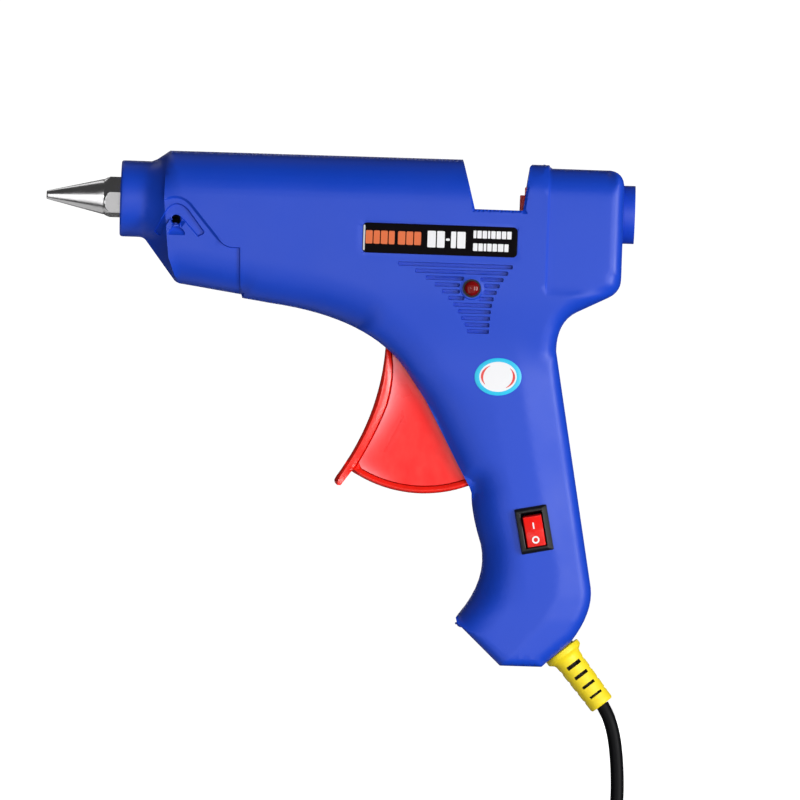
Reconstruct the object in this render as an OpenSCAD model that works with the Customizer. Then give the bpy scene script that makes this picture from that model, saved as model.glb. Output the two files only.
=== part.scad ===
// Hot melt glue gun: two-part moulded casing, trigger feed and heated nozzle.
// X runs from the nozzle tip to the rear, Z is up, Y is across. The part stands
// as it is held, and its origin is the middle of the grip.

/* [Casing] */
// Half the width of the barrel housing
body_half = 18.5; // [17.5:0.5:20]
// Half the width of the grip
grip_half = 15.5; // [15:0.5:17]
// Wall thickness of the two shells
wall = 2.4; // [2:0.1:2.8]
// Radius of the round nose collar
collar_r = 12.8; // [12:0.1:13.5]
// Lean of the grip from the vertical, in degrees
grip_lean = 10.3; // [9:0.1:11]
// Radius of the holes for the wire stand
stand_hole_r = 1.5; // [1:0.1:2]

/* [Glue stick path] */
// Radius of the bore that the glue stick passes through
stick_bore_r = 5.9; // [5.8:0.05:6.1]
// Radius of the opening in the nozzle tip
outlet_r = 0.9; // [0.6:0.1:1.4]
// Radius of the throat between the melt chamber and the nozzle's seat
throat_r = 3.6; // [3:0.1:3.8]
// Width of the nozzle's hexagon across its flats
hex_flats = 13; // [12:0.5:14]

/* [Trigger] */
// Swing of the trigger, in degrees
trigger_swing = 30; // [24:1:30]
// Width of the trigger
trigger_width = 17; // [15:0.5:17]
// Radius of the trigger's steel pin
pin_r = 2; // [1.5:0.1:2.5]

/* [Switch] */
// Length of the switch flange
switch_l = 15; // [14:0.5:16]
// Width of the switch flange
switch_w = 11; // [10:0.5:12]

/* [Mains lead] */
// Diameter of the mains lead
cord_d = 4.6; // [4.2:0.1:5]
// Length of the strain relief outside the casing
relief_l = 23.4; // [20:0.2:26]
// Diameter of the plug's contact pins
contact_d = 4; // [3.8:0.1:4.2]
// Distance between the plug's contact pins
contact_gap = 19; // [18:0.5:19.5]

/* [Hidden] */
$fn = 48;
eps = 0.02;
cut = 60;

// Middle of the grip, in the coordinates that start at the nozzle tip
grip_x = 165;
grip_z = -90;

// Lengths along the barrel axis
body_x0 = 35.6;
body_x1 = 196;
collar_x0 = 24.8;
top_z = 16.4;
chamber_x0 = 32;
chamber_x1 = 98;
sleeve_x1 = 138;
chamber_r = 9.2;
hex_r = hex_flats / 2 / cos(30);
sleeve_r = 8.2;

// Trigger pivot, its sweep and the pin that drives the carriage
pivot = [130.4, -52.8];
sweep_r = 44.3;
pin_half_l = 11.2;
drive_h = 26;
drive_r = 1.5;
drive_x = pivot[0] + drive_h * tan(trigger_swing / 2);
drive_z = pivot[1] + drive_h;
slot_gap = 0.15;
run_gap = 0.05;
fit_gap = 0.02;
half_trigger = trigger_width / 2;
slot_half = half_trigger + 0.4;

// Feed carriage
carriage_x0 = 162.5;
carriage_x1 = 175;
carriage_half = 8.6;
lip_x0 = 160.9;
lip_z = 5.3;
gripper = [171.5, 8.2];

// Switch, lamp, label and stand hole
switch_at = [169.7, -108];
switch_lean = 11.5;
switch_depth = 12;
rocker_deep = 1.6;
rocker_tilt = 8;
trunnion_r = 1;
lamp_at = [145.5, -27];
stand_at = [44.6, -7.1];
stand_hole_l = 6;
groove_pitch = 2.24;
groove_z0 = -19.1;
grooves = [[120.2, 159.1], [126.1, 157.6], [129.8, 156.1], [132.9, 154.9],
    [135.4, 154], [137.6, 153], [139.4, 152.5], [141, 152.2], [142.2, 152],
    [143.4, 151.9], [144.3, 151.8]];

// Screws of the casing
screws = [[54, -22.5], [104, -30], [188, -18], [167, -47], [157, -140], [174, -90]];
screw_r = 1.5;
screw_head_r = 2.8;
screw_head_h = 2.2;
screw_seat_y = 8;

// Mains lead
cord_r = cord_d / 2;
lead_r = 0.9;
relief_at = [179.2, -149.3];
relief_turn = 138.1;
relief_neck_r = 4.4;
floor_z = -221.5;
coil_at = [150, 0];
coil_r = 25;
coil_bundle_r = 6.9;
coil_mid_h = 6.3;
plug_at = [110, 12];
plug_l = 36;
plug_half = 17.6;
plug_half_h = 6.8;
contact_l = 19;
plug_z = floor_z + plug_half_h;
relief_end = [relief_at[0] + relief_l * sin(relief_turn), 0,
    relief_at[1] + relief_l * cos(relief_turn)];

// Route of the lead from the strain relief to the coil
lead_route = [relief_end, [196.6, 0, -169.6], [198, 0, -173], [199.2, 0, -177.4],
    [200, 0, -182.4], [200.6, 0, -188], [200.9, 0, -193.6], [201, 0, -199.2],
    [200.4, 0.4, -204.4], [198.9, 1.6, -209.2], [196.3, 3.5, -213.3], [193, 6, -216.5],
    [189.1, 8.9, -218.5], [185, 12, -219.2], [179.6, 16, -219.2], [174.2, 20, -219.2],
    [169.2, 23.2, -219.2], [164, 25.5, -219.2], [158.6, 26.8, -219.2], [153, 27.3, -219.2],
    [150, 27.3, -219.2]];

// Route of the lead from the coil to the plug
tail_route = [[150, 29.6, -215.2], [143, 29.5, -216.2], [137, 28.6, -217.4], [131.6, 26.6, -218.4],
    [127, 23.4, -219], [123, 19.6, -218.8], [119, 16, -217.6], [115, 12.8, -215.4], [112.4, 12, plug_z],
    [110.05, 12, plug_z]];

// Points of a smooth bend from a to c that pulls towards b
function bend(a, b, c, n = 8) =
    [for (i = [0:n]) let (t = i / n) a * (1 - t) * (1 - t) + b * 2 * t * (1 - t) + c * t * t];

// Side outline of the casing, without the nose collar
casing_outline = concat(
    [[32.6, 11.5], [35.6, 12.3], [41.6, top_z], [142.3, top_z], [145.6, 0.2],
        [161.9, 0.2], [163.6, 14.6], [164.8, 15.8], [170.4, 15.8], [171.6, 14.6]],
    bend([191, 14.6], [195.6, 14], [196, 8.6], 5),
    bend([196, -23.4], [196, -26.2], [192.6, -27.8], 4),
    bend([181.4, -33.8], [174.6, -37.4], [174.9, -47.4], 6),
    bend([189.4, -127], [190.6, -135.4], [183.4, -145.5], 8),
    [[175, -153.1], [173.6, -154.4], [159.4, -154.4],
        [144.4, -140.4], [144, -139], [144.8, -137.6]],
    bend([147.6, -133.6], [154.4, -124.8], [151.6, -113.6], 6),
    bend([150.6, -109.8], [147.9, -101], [147.9, -96.4], 4),
    [[147.1, -94.3], [143.9, -88.7], [131.2, -65.3]],
    bend([124.6, -56], [112, -38], [77.4, -34.2], 10),
    [[67.5, -33.5], [67.1, -32.2], [46.6, -29], [43.8, -27.9], [34.2, -14.6],
        [32.6, -11.5]]);

// Rings of a round tube of radius r that follows the route's points
function unit(v) = v / norm(v);
function along(p, i) = unit(p[min(i + 1, len(p) - 1)] - p[max(i - 1, 0)]);
function side(t) = unit(cross(t, abs(t[1]) < 0.8 ? [0, 1, 0] : [1, 0, 0]));

module swept_tube(route, r, sides) {
    count = len(route);
    points = [for (i = [0:count - 1]) let (t = along(route, i), u = side(t), v = cross(t, u))
        for (k = [0:sides - 1])
            route[i] + r * (cos(360 * k / sides) * u + sin(360 * k / sides) * v)];
    rows = [for (i = [0:count - 2]) for (k = [0:sides - 1])
        let (a = i * sides + k, b = i * sides + (k + 1) % sides)
        [a, a + sides, b + sides, b]];
    first = [for (k = [0:sides - 1]) k];
    last = [for (k = [sides - 1:-1:0]) (count - 1) * sides + k];
    polyhedron(points, concat(rows, [first, last]));
}

// Placing helpers
module held() translate([-grip_x, 0, -grip_z]) children();
module across(y0, y1) translate([0, y1, 0]) rotate([90, 0, 0]) linear_extrude(y1 - y0) children();
module lengthways(x0, x1) translate([x0, 0, 0]) rotate([90, 0, 90]) linear_extrude(x1 - x0) children();
module rod_x(x0, x1, r) translate([x0, 0, 0]) rotate([0, 90, 0]) cylinder(h = x1 - x0, r = r);
module rod_y(p, y0, y1, r) translate([p[0], y1, p[1]]) rotate([90, 0, 0]) cylinder(h = y1 - y0, r = r);
module block(a, b) translate(a) cube(b - a);
module turned_x(points) rotate([0, 90, 0]) rotate_extrude() polygon(points);
module at_pivot(angle) translate([pivot[0], 0, pivot[1]]) rotate([0, -angle, 0]) children();
module at_relief() translate([relief_at[0], 0, relief_at[1]]) rotate([0, relief_turn, 0]) children();
module at_switch() translate([switch_at[0], -grip_half, switch_at[1]])
    rotate([0, -switch_lean, 0]) children();
module at_grip() translate([174.8, 0, -46.8]) rotate([0, -grip_lean, 0]) children();

// Casing
module rounded_section(half, z0, z1, r_low, r_top) {
    for (s = [-1, 1]) {
        translate([s * (half - r_top), z1 - r_top]) circle(r = r_top);
        translate([s * (half - r_low), z0 + r_low]) circle(r = r_low);
    }
    translate([-half, z0 + r_low]) square([2 * half, z1 - z0 - r_low - r_top]);
    translate([-(half - r_top), z1 - 2 * r_top]) square([2 * (half - r_top), 2 * r_top]);
    translate([-(half - r_low), z0]) square([2 * (half - r_low), 2 * r_low]);
}

module casing_form(inset) {
    intersection() {
        across(-cut, cut) offset(delta = -inset) polygon(casing_outline);
        union() {
            lengthways(30, 200)
                rounded_section(body_half - inset, -52 + inset, top_z - inset, 12 - inset, 11 - inset);
            at_grip() translate([0, 0, -112]) linear_extrude(124) {
                translate([-19, 0]) rotate(90) rounded_section(grip_half - inset,
                    -19 + inset, 19 - inset, 9 - inset, 9 - inset);
                translate([-62, -12 + inset]) square([50, 24 - 2 * inset]);
            }
        }
    }
}

module trigger_gate() {
    across(-slot_half, slot_half) intersection() {
        polygon([[114.6, -41], [122, -46], [138, -62], [150.5, -86], [152, -99.7], [100, -110], [100, -43]]);
        translate(pivot) circle(r = sweep_r + 2.4);
    }
}

module stick_way() {
    block([140, -carriage_half - 0.6, -12], [carriage_x0 + 4, carriage_half + 0.6, 11.4]);
    rod_x(body_x1 - wall - 1, body_x1 + 1, 8);
}

module ribs() {
    for (x = [41, 91]) block([x, -cut, -cut], [x + wall, cut, cut]);
    block([110, -cut, 3], [112, cut, cut]);
}

module casing_hollow() {
    difference() {
        casing_form(wall);
        intersection() {
            ribs();
            block([30, -cut, -40], [130, cut, 30]);
        }
    }
    rod_x(collar_x0 + 1.6, body_x0 + 4, collar_r - wall);
    rod_x(30, 120, chamber_r + 0.6);
    block([44, -10, -18.4], [100, 10, 0]);
}

module vent_grooves(s) {
    for (i = [0:10]) let (z = groove_z0 - i * groove_pitch)
        block([grooves[i][0], s * body_half - 0.7, z - 0.45], [grooves[i][1], s * body_half + 0.7, z + 0.45]);
}

module shell_base(s) {
    difference() {
        union() {
            casing_form(0);
            rod_x(collar_x0, body_x0 + 3, collar_r);
        }
        casing_hollow();
        trigger_gate();
        stick_way();
        rod_x(collar_x0 - 1, body_x0, collar_r - wall);
        vent_grooves(s);
    }
}

module shell_half(s) {
    keep_a = s > 0 ? 0 : -cut;
    keep_b = s > 0 ? cut : 0;
    difference() {
        union() {
            intersection() {
                shell_base(s);
                block([0, keep_a, -cut * 4], [250, keep_b, cut]);
            }
            intersection() {
                casing_form(wall / 2);
                union() {
                    for (p = screws) rod_y(p, keep_a, keep_b, 4);
                    rod_y(pivot, s > 0 ? slot_half : -cut, s > 0 ? cut : -slot_half, 5);
                    rod_y(stand_at, s > 0 ? body_half - stand_hole_l - 1 : -cut,
                        s > 0 ? cut : -body_half + stand_hole_l + 1, 3.4);
                    block([147, s > 0 ? carriage_half + 0.2 : -cut, -6],
                        [178, s > 0 ? cut : -carriage_half - 0.2, -3.4]);
                }
            }
        }
        rod_y(pivot, -pin_half_l, pin_half_l, pin_r + fit_gap);
        rod_y(stand_at, s > 0 ? body_half - stand_hole_l : -cut,
            s > 0 ? cut : -body_half + stand_hole_l, stand_hole_r);
        at_relief() cylinder(h = 2 * cut, r = relief_neck_r, center = true);
        at_relief() translate([0, 0, -7.6]) cylinder(h = 5, r = 6.2);
        block([192, -8.5, -8.5], [194, 8.5, 8.5]);
    }
}

module left_shell() held() color("royalblue") difference() {
    shell_half(-1);
    for (p = screws) rod_y(p, -10, eps, screw_r);
    at_switch() block([-4.4, -5, -6.9], [4.4, 5, 6.9]);
    rod_y(lamp_at, -cut, 0, 3.1);
    block([107.9, -body_half - 1, -15.4], [160.9, -body_half + 0.3, -5.5]);
}

module right_shell() held() color("royalblue") difference() {
    shell_half(1);
    for (p = screws) {
        rod_y(p, -eps, cut, screw_r + 0.2);
        rod_y(p, screw_seat_y, cut, screw_head_r + 0.4);
    }
}

// Heating and glue path
module nozzle() held() color("silver") difference() {
    union() {
        turned_x([[0, 0], [1.7, 0], [2.05, 0.5], [5.9, 18.6], [6.1, 20.4], [0, 20.4]]);
        intersection() {
            translate([19.6, 0, 0]) rotate([0, 90, 0]) rotate(10)
                cylinder(h = 8.3, r = hex_r, $fn = 6);
            turned_x([[0, 19.6], [6, 19.6], [hex_r + 0.4, 23], [hex_r + 0.4, 28], [0, 28]]);
        }
        rod_x(27.9, 38, 4);
    }
    rod_x(-1, 8, outlet_r);
    rod_x(7.9, 39, 2);
}

module melt_chamber() held() color("silver") difference() {
    union() {
        rod_x(chamber_x0, chamber_x1, chamber_r);
        block([50, -7.2, -16.2], [88, 7.2, -7]);
    }
    rod_x(42, chamber_x1 + 1, stick_bore_r);
    rod_x(chamber_x0 - 1, 38, 4 + fit_gap);
    rod_x(37, 43, throat_r);
    block([52, -6, -14.4], [89, 6, -10.4]);
}

module ptc_heater() held() color("dimgray") block([53, -5.4, -13.8], [84, 5.4, -11]);

module heater_film() held() color("orange") difference() {
    block([52.5, -5.8, -14.2], [86, 5.8, -10.6]);
    block([52.4, -5.4, -13.8], [86.1, 5.4, -11]);
}

module heater_clip() held() color("lightgray") difference() {
    block([60, -9.2, -17.4], [78, 9.2, -5.2]);
    block([59, -8.3, -16.5], [79, 8.3, 0]);
}

module guide_sleeve() held() color("firebrick") difference() {
    union() {
        rod_x(chamber_x1, sleeve_x1, sleeve_r - 0.8);
        rod_x(chamber_x1, chamber_x1 + 2, sleeve_r + 1);
        rod_x(chamber_x1 + 6, chamber_x1 + 8, sleeve_r + 1);
    }
    rod_x(chamber_x1 - 1, sleeve_x1 + 1, stick_bore_r);
}

module sleeve_clamp() held() color("gray") difference() {
    rod_x(chamber_x1 + 2.2, chamber_x1 + 5.8, sleeve_r + 0.4);
    rod_x(chamber_x1, chamber_x1 + 7, sleeve_r - 0.8);
}

module front_bush() held() color("darkslategray") difference() {
    rod_x(27.6, 31.6, collar_r - wall);
    rod_x(27, 32, hex_r + 0.3);
}

module stick_inlet() held() color("mediumblue") difference() {
    union() {
        rod_x(body_x1, 200, 9.9);
        rod_x(194, body_x1 + 1, 8);
        rod_x(192.2, 194, 8.5);
    }
    rod_x(191, 201, stick_bore_r);
    translate([198.6, 0, 0]) rotate([0, 90, 0]) cylinder(h = 1.5, r1 = stick_bore_r, r2 = stick_bore_r + 1.6);
}

// Trigger and feed
trigger_outline = concat(
    bend([116.2, -44], [116.4, -70.5], [101.8, -92], 8),
    [[101.1, -93.4], [101.8, -94.8], [103.6, -95], [106.7, -90.6]],
    [for (a = [-122:6:-62]) pivot + sweep_r * [cos(a), sin(a)]],
    [[147, -84], [139, -66], [136, -52.8], [131, -46], [124, -43.4]]);

module trigger_panel() intersection() {
    polygon([[119.2, -49], [119.8, -58], [116.6, -72.5], [109.6, -86.4], [120, -91.6],
        [132, -92.6], [145, -90.4], [141, -76], [134, -64], [123, -52]]);
    translate(pivot) circle(r = sweep_r - 3.2);
}

module trigger() held() color("red") difference() {
    union() {
        across(-half_trigger, half_trigger) polygon(trigger_outline);
        rod_y(pivot, -half_trigger, half_trigger, 7);
        at_pivot(-trigger_swing / 2) block([-3.9, -3.2, 0], [3.9, 3.2, drive_h + 5]);
    }
    for (s = [-1, 1]) across(s * half_trigger - 2, s * half_trigger + 2) trigger_panel();
    rod_y(pivot, -cut, cut, pin_r + run_gap);
    across(3.4, half_trigger + 1) difference() {
        translate(pivot) circle(r = 8.6);
        translate(pivot) circle(r = 5.4);
    }
    at_pivot(-trigger_swing / 2) {
        block([-drive_r - slot_gap, -4, drive_h], [drive_r + slot_gap, 4, drive_h / cos(trigger_swing / 2)]);
        translate([0, 4, drive_h]) rotate([90, 0, 0]) cylinder(h = 8, r = drive_r + slot_gap);
        translate([0, 4, drive_h / cos(trigger_swing / 2)]) rotate([90, 0, 0])
            cylinder(h = 8, r = drive_r + slot_gap);
    }
}

module trigger_pin() held() color("silver") rod_y(pivot, -pin_half_l, pin_half_l, pin_r);

module trigger_spring() held() color("gainsboro") {
    for (i = [0:3]) translate([pivot[0], 4.3 + i * 1.1, pivot[1]]) rotate([90, 0, 0])
        rotate_extrude() translate([6.7, 0]) circle(r = 0.56, $fn = 16);
}

module carriage_arm() polygon([[174, -8.6], [163, -8.6], [152, -13], [135.2, -23.6], [133.8, -27],
    [135, -30], [139.6, -30], [143, -25.4], [156, -17.4], [174, -13]]);

module feed_carriage() held() color("crimson") difference() {
    union() {
        block([carriage_x0, -carriage_half, -9.6], [carriage_x1, carriage_half, 8]);
        block([lip_x0, -carriage_half, -9.6], [carriage_x0 + eps, carriage_half, lip_z]);
        for (s = [-1, 1]) across(s * 5.2 - 1.5, s * 5.2 + 1.5) carriage_arm();
        for (s = [-1, 1]) rod_y(gripper, s * 4.9 - 1.3, s * 4.9 + 1.3, 2.6);
    }
    rod_x(lip_x0 - 1, carriage_x1 + 1, stick_bore_r + 0.3);
    block([163.6, -3.5, 0], [carriage_x1 + 1, 3.5, 12]);
    rod_y(gripper, -8, 8, 1 + fit_gap);
    rod_y([drive_x, drive_z], -8, 8, drive_r + fit_gap);
}

module drive_pin() held() color("silver") rod_y([drive_x, drive_z], -6.7, 6.7, drive_r);

module stick_gripper() held() color("silver") difference() {
    union() {
        rod_y(gripper, -2.2, 2.2, 2.2);
        across(-2.2, 2.2) polygon([[171.5, 6.2], [171.5, 10], [165.6, 8.6], [164.6, 6.6], [165.2, 6.1],
            [165.8, 6.7], [166.4, 6.1], [167, 6.7], [167.6, 6.1], [168.4, 6.7]]);
    }
    rod_y(gripper, -3, 3, 1 + run_gap);
}

module gripper_pin() held() color("silver") rod_y(gripper, -6.2, 6.2, 1);

module gripper_spring() held() color("gainsboro")
    for (i = [0:1]) translate([gripper[0], 2.65 + i * 0.45, gripper[1]]) rotate([90, 0, 0])
        rotate_extrude() translate([1.5, 0]) circle(r = 0.2, $fn = 14);

// Lamp, label and sticker
module led_lens() held() color("darkred") intersection() {
    union() {
        rod_y(lamp_at, -body_half - 0.4, -body_half + 8, 2.5);
        translate([lamp_at[0], -body_half - 0.4, lamp_at[1]]) sphere(r = 2.5);
    }
    rod_y(lamp_at, -body_half - 1.6, -body_half + 8, 2.5);
}

module led_bezel() held() color("black") difference() {
    rod_y(lamp_at, -body_half - 0.4, -body_half + 5, 3.1);
    rod_y(lamp_at, -cut, 0, 2.55);
}

module led_board() held() color("darkgreen")
    block([138, -body_half + 8, -33.5], [153, -body_half + 9.2, -21]);

module rating_label() held() color("black")
    across(-body_half - 0.1, -body_half + 0.3) {
        translate([109.4, -15.4]) square([50, 9.8]);
        translate([108, -14]) square([52.8, 7]);
        for (x = [109.4, 159.4]) for (z = [-14, -7]) translate([x, z]) circle(r = 1.4);
    }

module oval_sticker() held() color("cyan") translate([155.4, -grip_half, -56.6])
    rotate([90, 0, 0]) linear_extrude(0.15) intersection() {
        translate([0, -4.5]) circle(r = 10.9, $fn = 90);
        translate([0, 4.5]) circle(r = 10.9, $fn = 90);
        circle(r = 7.95, $fn = 90);
    }

// Switch
module switch_frame() held() color("black") at_switch() difference() {
    union() {
        block([-switch_w / 2, -1.6, -switch_l / 2], [switch_w / 2, 0, switch_l / 2]);
        block([-4.4, 0, -6.9], [4.4, switch_depth, 6.9]);
    }
    block([-3.6, -3, -6.15], [3.6, 6, 6.15]);
    translate([-6, rocker_deep, 0]) rotate([0, 90, 0]) cylinder(h = 12, r = trunnion_r + run_gap);
}

module switch_rocker() held() color("red") at_switch() {
    translate([-3.4, rocker_deep, 0]) rotate([90, 0, 90]) linear_extrude(6.8) rotate(rocker_tilt)
        polygon([[2.5, -3], [2.5, 3], [-0.5, 5.2], [-4.6, 5.1], [-3.3, 0], [-4.6, -5.1], [-0.5, -5.2]]);
    translate([-4.3, rocker_deep, 0]) rotate([0, 90, 0]) cylinder(h = 8.6, r = trunnion_r);
}

module switch_terminals() held() color("gold") at_switch()
    for (z = [-4, 0.5]) block([-2.2, switch_depth, z], [2.2, switch_depth + 6, z + 0.8]);

// Wiring
module lead(route) swept_tube(route, lead_r, 8);

module switch_leads() held() color("brown") {
    lead([[170.6, 0.5, -112.6], [171.2, 1.2, -117], [171, 2.2, -124], [169.2, 2, -130.6], [166.4, 1.2, -134.6]]);
    lead([[169.4, 0.5, -106], [168.4, 3, -102], [165.5, 7.5, -95.6], [163, 10.4, -86],
        [161.6, 11.2, -74], [159, 11.2, -60], [152, 11.5, -48], [142, 12, -39], [134, 12, -35.8],
        [126.2, 12, -35]]);
}

module return_lead() held() color("steelblue")
    lead([[165.9, -1.2, -134.4], [163, -4, -127], [159.6, -7.4, -118], [157.4, -10, -108], [157, -11.2, -96],
        [157.6, -11.4, -82], [155, -11.4, -66], [148, -11.6, -50], [140, -12, -40], [133, -12, -36],
        [126.4, -12, -35]]);

module heater_leads() held() color("white") for (s = [-1, 1])
    lead([[84.3, s * 3, -12.4], [88, s * 3.2, -12.6], [93, s * 5, -14], [98, s * 8, -17.4],
        [104, s * 10.8, -21.4], [110, s * 12, -26], [113.6, s * 12, -31.2], [116.2, s * 12, -34.2]]);

module crimp_connectors() held() color("ivory") {
    translate([121.6, 12, -35]) rotate([0, 90, 0]) cylinder(h = 9, r = 1.6, center = true);
    translate([121.6, -12, -35]) rotate([0, 90, 0]) cylinder(h = 9, r = 1.6, center = true);
}

// Mains lead
module cord_tail() held() color("black") at_relief() translate([0, 0, -18]) cylinder(h = 18, r = cord_r);

module cord_clamp() held() color("dimgray") at_relief() difference() {
    block([-5, -8, -16], [-0.6, 8, -11]);
    translate([0, 0, -18]) cylinder(h = 18, r = cord_r);
    for (y = [-5.4, 5.4]) translate([-6, y, -13.5]) rotate([0, 90, 0]) cylinder(h = 7, r = 1.25);
}

module clamp_screws() held() color("silver") at_relief()
    for (y = [-5.4, 5.4]) {
        translate([-5, y, -13.5]) rotate([0, 90, 0]) cylinder(h = 9, r = 1.25);
        translate([-6.4, y, -13.5]) rotate([0, 90, 0]) cylinder(h = 1.4, r = 2.3);
    }

module case_screws() held() color("silver") for (p = screws) difference() {
    union() {
        rod_y(p, -9.5, screw_seat_y + eps, screw_r);
        rod_y(p, screw_seat_y, screw_seat_y + screw_head_h, screw_head_r);
    }
    for (a = [0, 90]) translate([p[0], screw_seat_y + screw_head_h, p[1]]) rotate([0, a, 0])
        cube([3.2, 2.4, 0.7], center = true);
}

module strain_relief() held() color("gold") at_relief() difference() {
    rotate_extrude() polygon(concat(
        [[cord_r, -4.6], [6, -4.6], [6, -2.8], [relief_neck_r - fit_gap, -2.8],
            [relief_neck_r - fit_gap, 0.1], [6.2, 0.1]],
        [[6.2, 1.6], [5.2, 2.4], [4.3, relief_l - 2.6], [4.6, relief_l - 2],
            [4.6, relief_l - 0.8], [4, relief_l], [cord_r, relief_l]]));
    for (i = [0:3]) for (s = [-1, 1]) {
        translate([0, s * 5.2, 5 + i * 4.2]) cube([6.4, 3, 1.5], center = true);
        translate([s * 5.2, 0, 7.1 + i * 4.2]) cube([3, 6.4, 1.5], center = true);
    }
}

module supply_cord() held() color("black") swept_tube(lead_route, cord_r, 8);

module plug_cord() held() color("black") swept_tube(tail_route, cord_r, 8);

module coil_ring(grow) translate([coil_at[0], coil_at[1], floor_z]) rotate_extrude() intersection() {
    translate([coil_r, coil_mid_h]) circle(r = coil_bundle_r + grow);
    translate([coil_r - 10, 0]) square([20, 20]);
}

module cord_coil() held() color("black") coil_ring(0);

module cord_tie() held() color("black") difference() {
    translate([coil_at[0] + coil_r, 0, floor_z + coil_mid_h]) rotate([90, 0, 0])
        cylinder(h = 5, r = coil_bundle_r + 0.9, center = true);
    coil_ring(fit_gap);
    block([140, -20, floor_z - 5], [200, 20, floor_z + 1.2]);
}

module plug_body() held() color("black") translate([plug_at[0] - plug_l, plug_at[1], plug_z])
    intersection() {
        lengthways(0, plug_l) rounded_section(plug_half, -plug_half_h, plug_half_h, 6.6, 6.6);
        across(-cut, cut) polygon([[0, -7], [0, 7], [22, 7], [26, 5.6], [plug_l, 4.2],
            [plug_l, -4.2], [26, -5.6], [22, -7]]);
        linear_extrude(cut, center = true) polygon(concat([[0, -plug_half], [0, plug_half]],
            bend([8, plug_half], [20, plug_half], [24, 8]), [[plug_l, 5], [plug_l, -5]],
            bend([24, -8], [20, -plug_half], [8, -plug_half])));
    }

module plug_pins() held() color("silver") for (s = [-1, 1])
    translate([plug_at[0] - plug_l, plug_at[1] + s * contact_gap / 2, plug_z]) {
        rod_x(-contact_l + 1.2, 0, contact_d / 2);
        translate([-contact_l + 1.2, 0, 0]) sphere(r = contact_d / 2);
    }

left_shell();
right_shell();
nozzle();
melt_chamber();
ptc_heater();
heater_film();
heater_clip();
guide_sleeve();
sleeve_clamp();
front_bush();
stick_inlet();
trigger();
trigger_pin();
trigger_spring();
feed_carriage();
drive_pin();
stick_gripper();
gripper_pin();
gripper_spring();
led_lens();
led_bezel();
led_board();
rating_label();
oval_sticker();
switch_frame();
switch_rocker();
switch_terminals();
switch_leads();
return_lead();
heater_leads();
crimp_connectors();
cord_tail();
cord_clamp();
clamp_screws();
case_screws();
strain_relief();
supply_cord();
cord_coil();
plug_cord();
cord_tie();
plug_body();
plug_pins();
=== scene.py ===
"""Looks of the hot melt glue gun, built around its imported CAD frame. Metres, CAD frame."""
from math import ceil, copysign, cos, degrees, dist, pi, radians, sin, sqrt, tan

import bmesh
import bpy
import numpy as np
from mathutils import Matrix, Vector
from mathutils.geometry import delaunay_2d_cdt


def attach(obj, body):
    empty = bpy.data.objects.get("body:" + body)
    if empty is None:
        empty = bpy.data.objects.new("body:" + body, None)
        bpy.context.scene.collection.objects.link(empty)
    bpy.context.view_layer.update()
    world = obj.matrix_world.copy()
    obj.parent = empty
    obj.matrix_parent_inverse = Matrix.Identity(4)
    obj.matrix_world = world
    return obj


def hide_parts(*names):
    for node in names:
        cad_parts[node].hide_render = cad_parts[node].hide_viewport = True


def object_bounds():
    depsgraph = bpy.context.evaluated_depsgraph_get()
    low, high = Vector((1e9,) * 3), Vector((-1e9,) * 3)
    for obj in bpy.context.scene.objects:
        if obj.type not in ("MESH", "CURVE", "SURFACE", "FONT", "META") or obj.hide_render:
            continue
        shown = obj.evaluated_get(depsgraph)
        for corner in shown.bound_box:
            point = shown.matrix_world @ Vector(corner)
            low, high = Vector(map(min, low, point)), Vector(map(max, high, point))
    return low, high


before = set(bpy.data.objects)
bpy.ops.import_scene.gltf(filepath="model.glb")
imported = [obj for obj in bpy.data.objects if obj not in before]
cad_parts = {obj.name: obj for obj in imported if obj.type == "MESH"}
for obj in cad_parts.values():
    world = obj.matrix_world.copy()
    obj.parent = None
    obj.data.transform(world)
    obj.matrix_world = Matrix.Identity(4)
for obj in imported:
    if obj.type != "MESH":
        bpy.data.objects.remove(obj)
cad_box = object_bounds()

MM = 0.001
GRIP = Vector((165, 0, -90))      # origin of the row, in tool millimetres from the nozzle tip
LEFT, RIGHT = -1, 1


def at(x, y, z):
    """A point given in tool millimetres, in the row frame."""
    return (Vector((x, y, z)) - GRIP) * MM


def mesh_of(name, bm):
    mesh = bpy.data.meshes.new(name)
    bm.to_mesh(mesh)
    bm.free()
    return mesh


def new_object(name, data):
    made = bpy.data.objects.new(name, data)
    bpy.context.scene.collection.objects.link(made)
    return made


# ---- camera
VIEW_MIDDLE = (122.5, 0, -65.6)


def add_camera():
    """Looks square on the left side, rolled a little, from far off as the photograph's camera was."""
    roll = radians(2.0)
    distance = 4.0
    view_width = 0.272
    right = Vector((cos(roll), 0, sin(roll)))
    up = Vector((-sin(roll), 0, cos(roll)))
    back = Vector((0, -1, 0))
    data = bpy.data.cameras.new("camera")
    data.sensor_width = 36
    data.lens = 36 * distance / view_width
    camera = new_object("camera", data)
    place = at(*VIEW_MIDDLE) + back * distance
    camera.matrix_world = Matrix.Translation(place) @ Matrix((right, up, back)).transposed().to_4x4()
    bpy.context.scene.camera = camera


add_camera()


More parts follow.
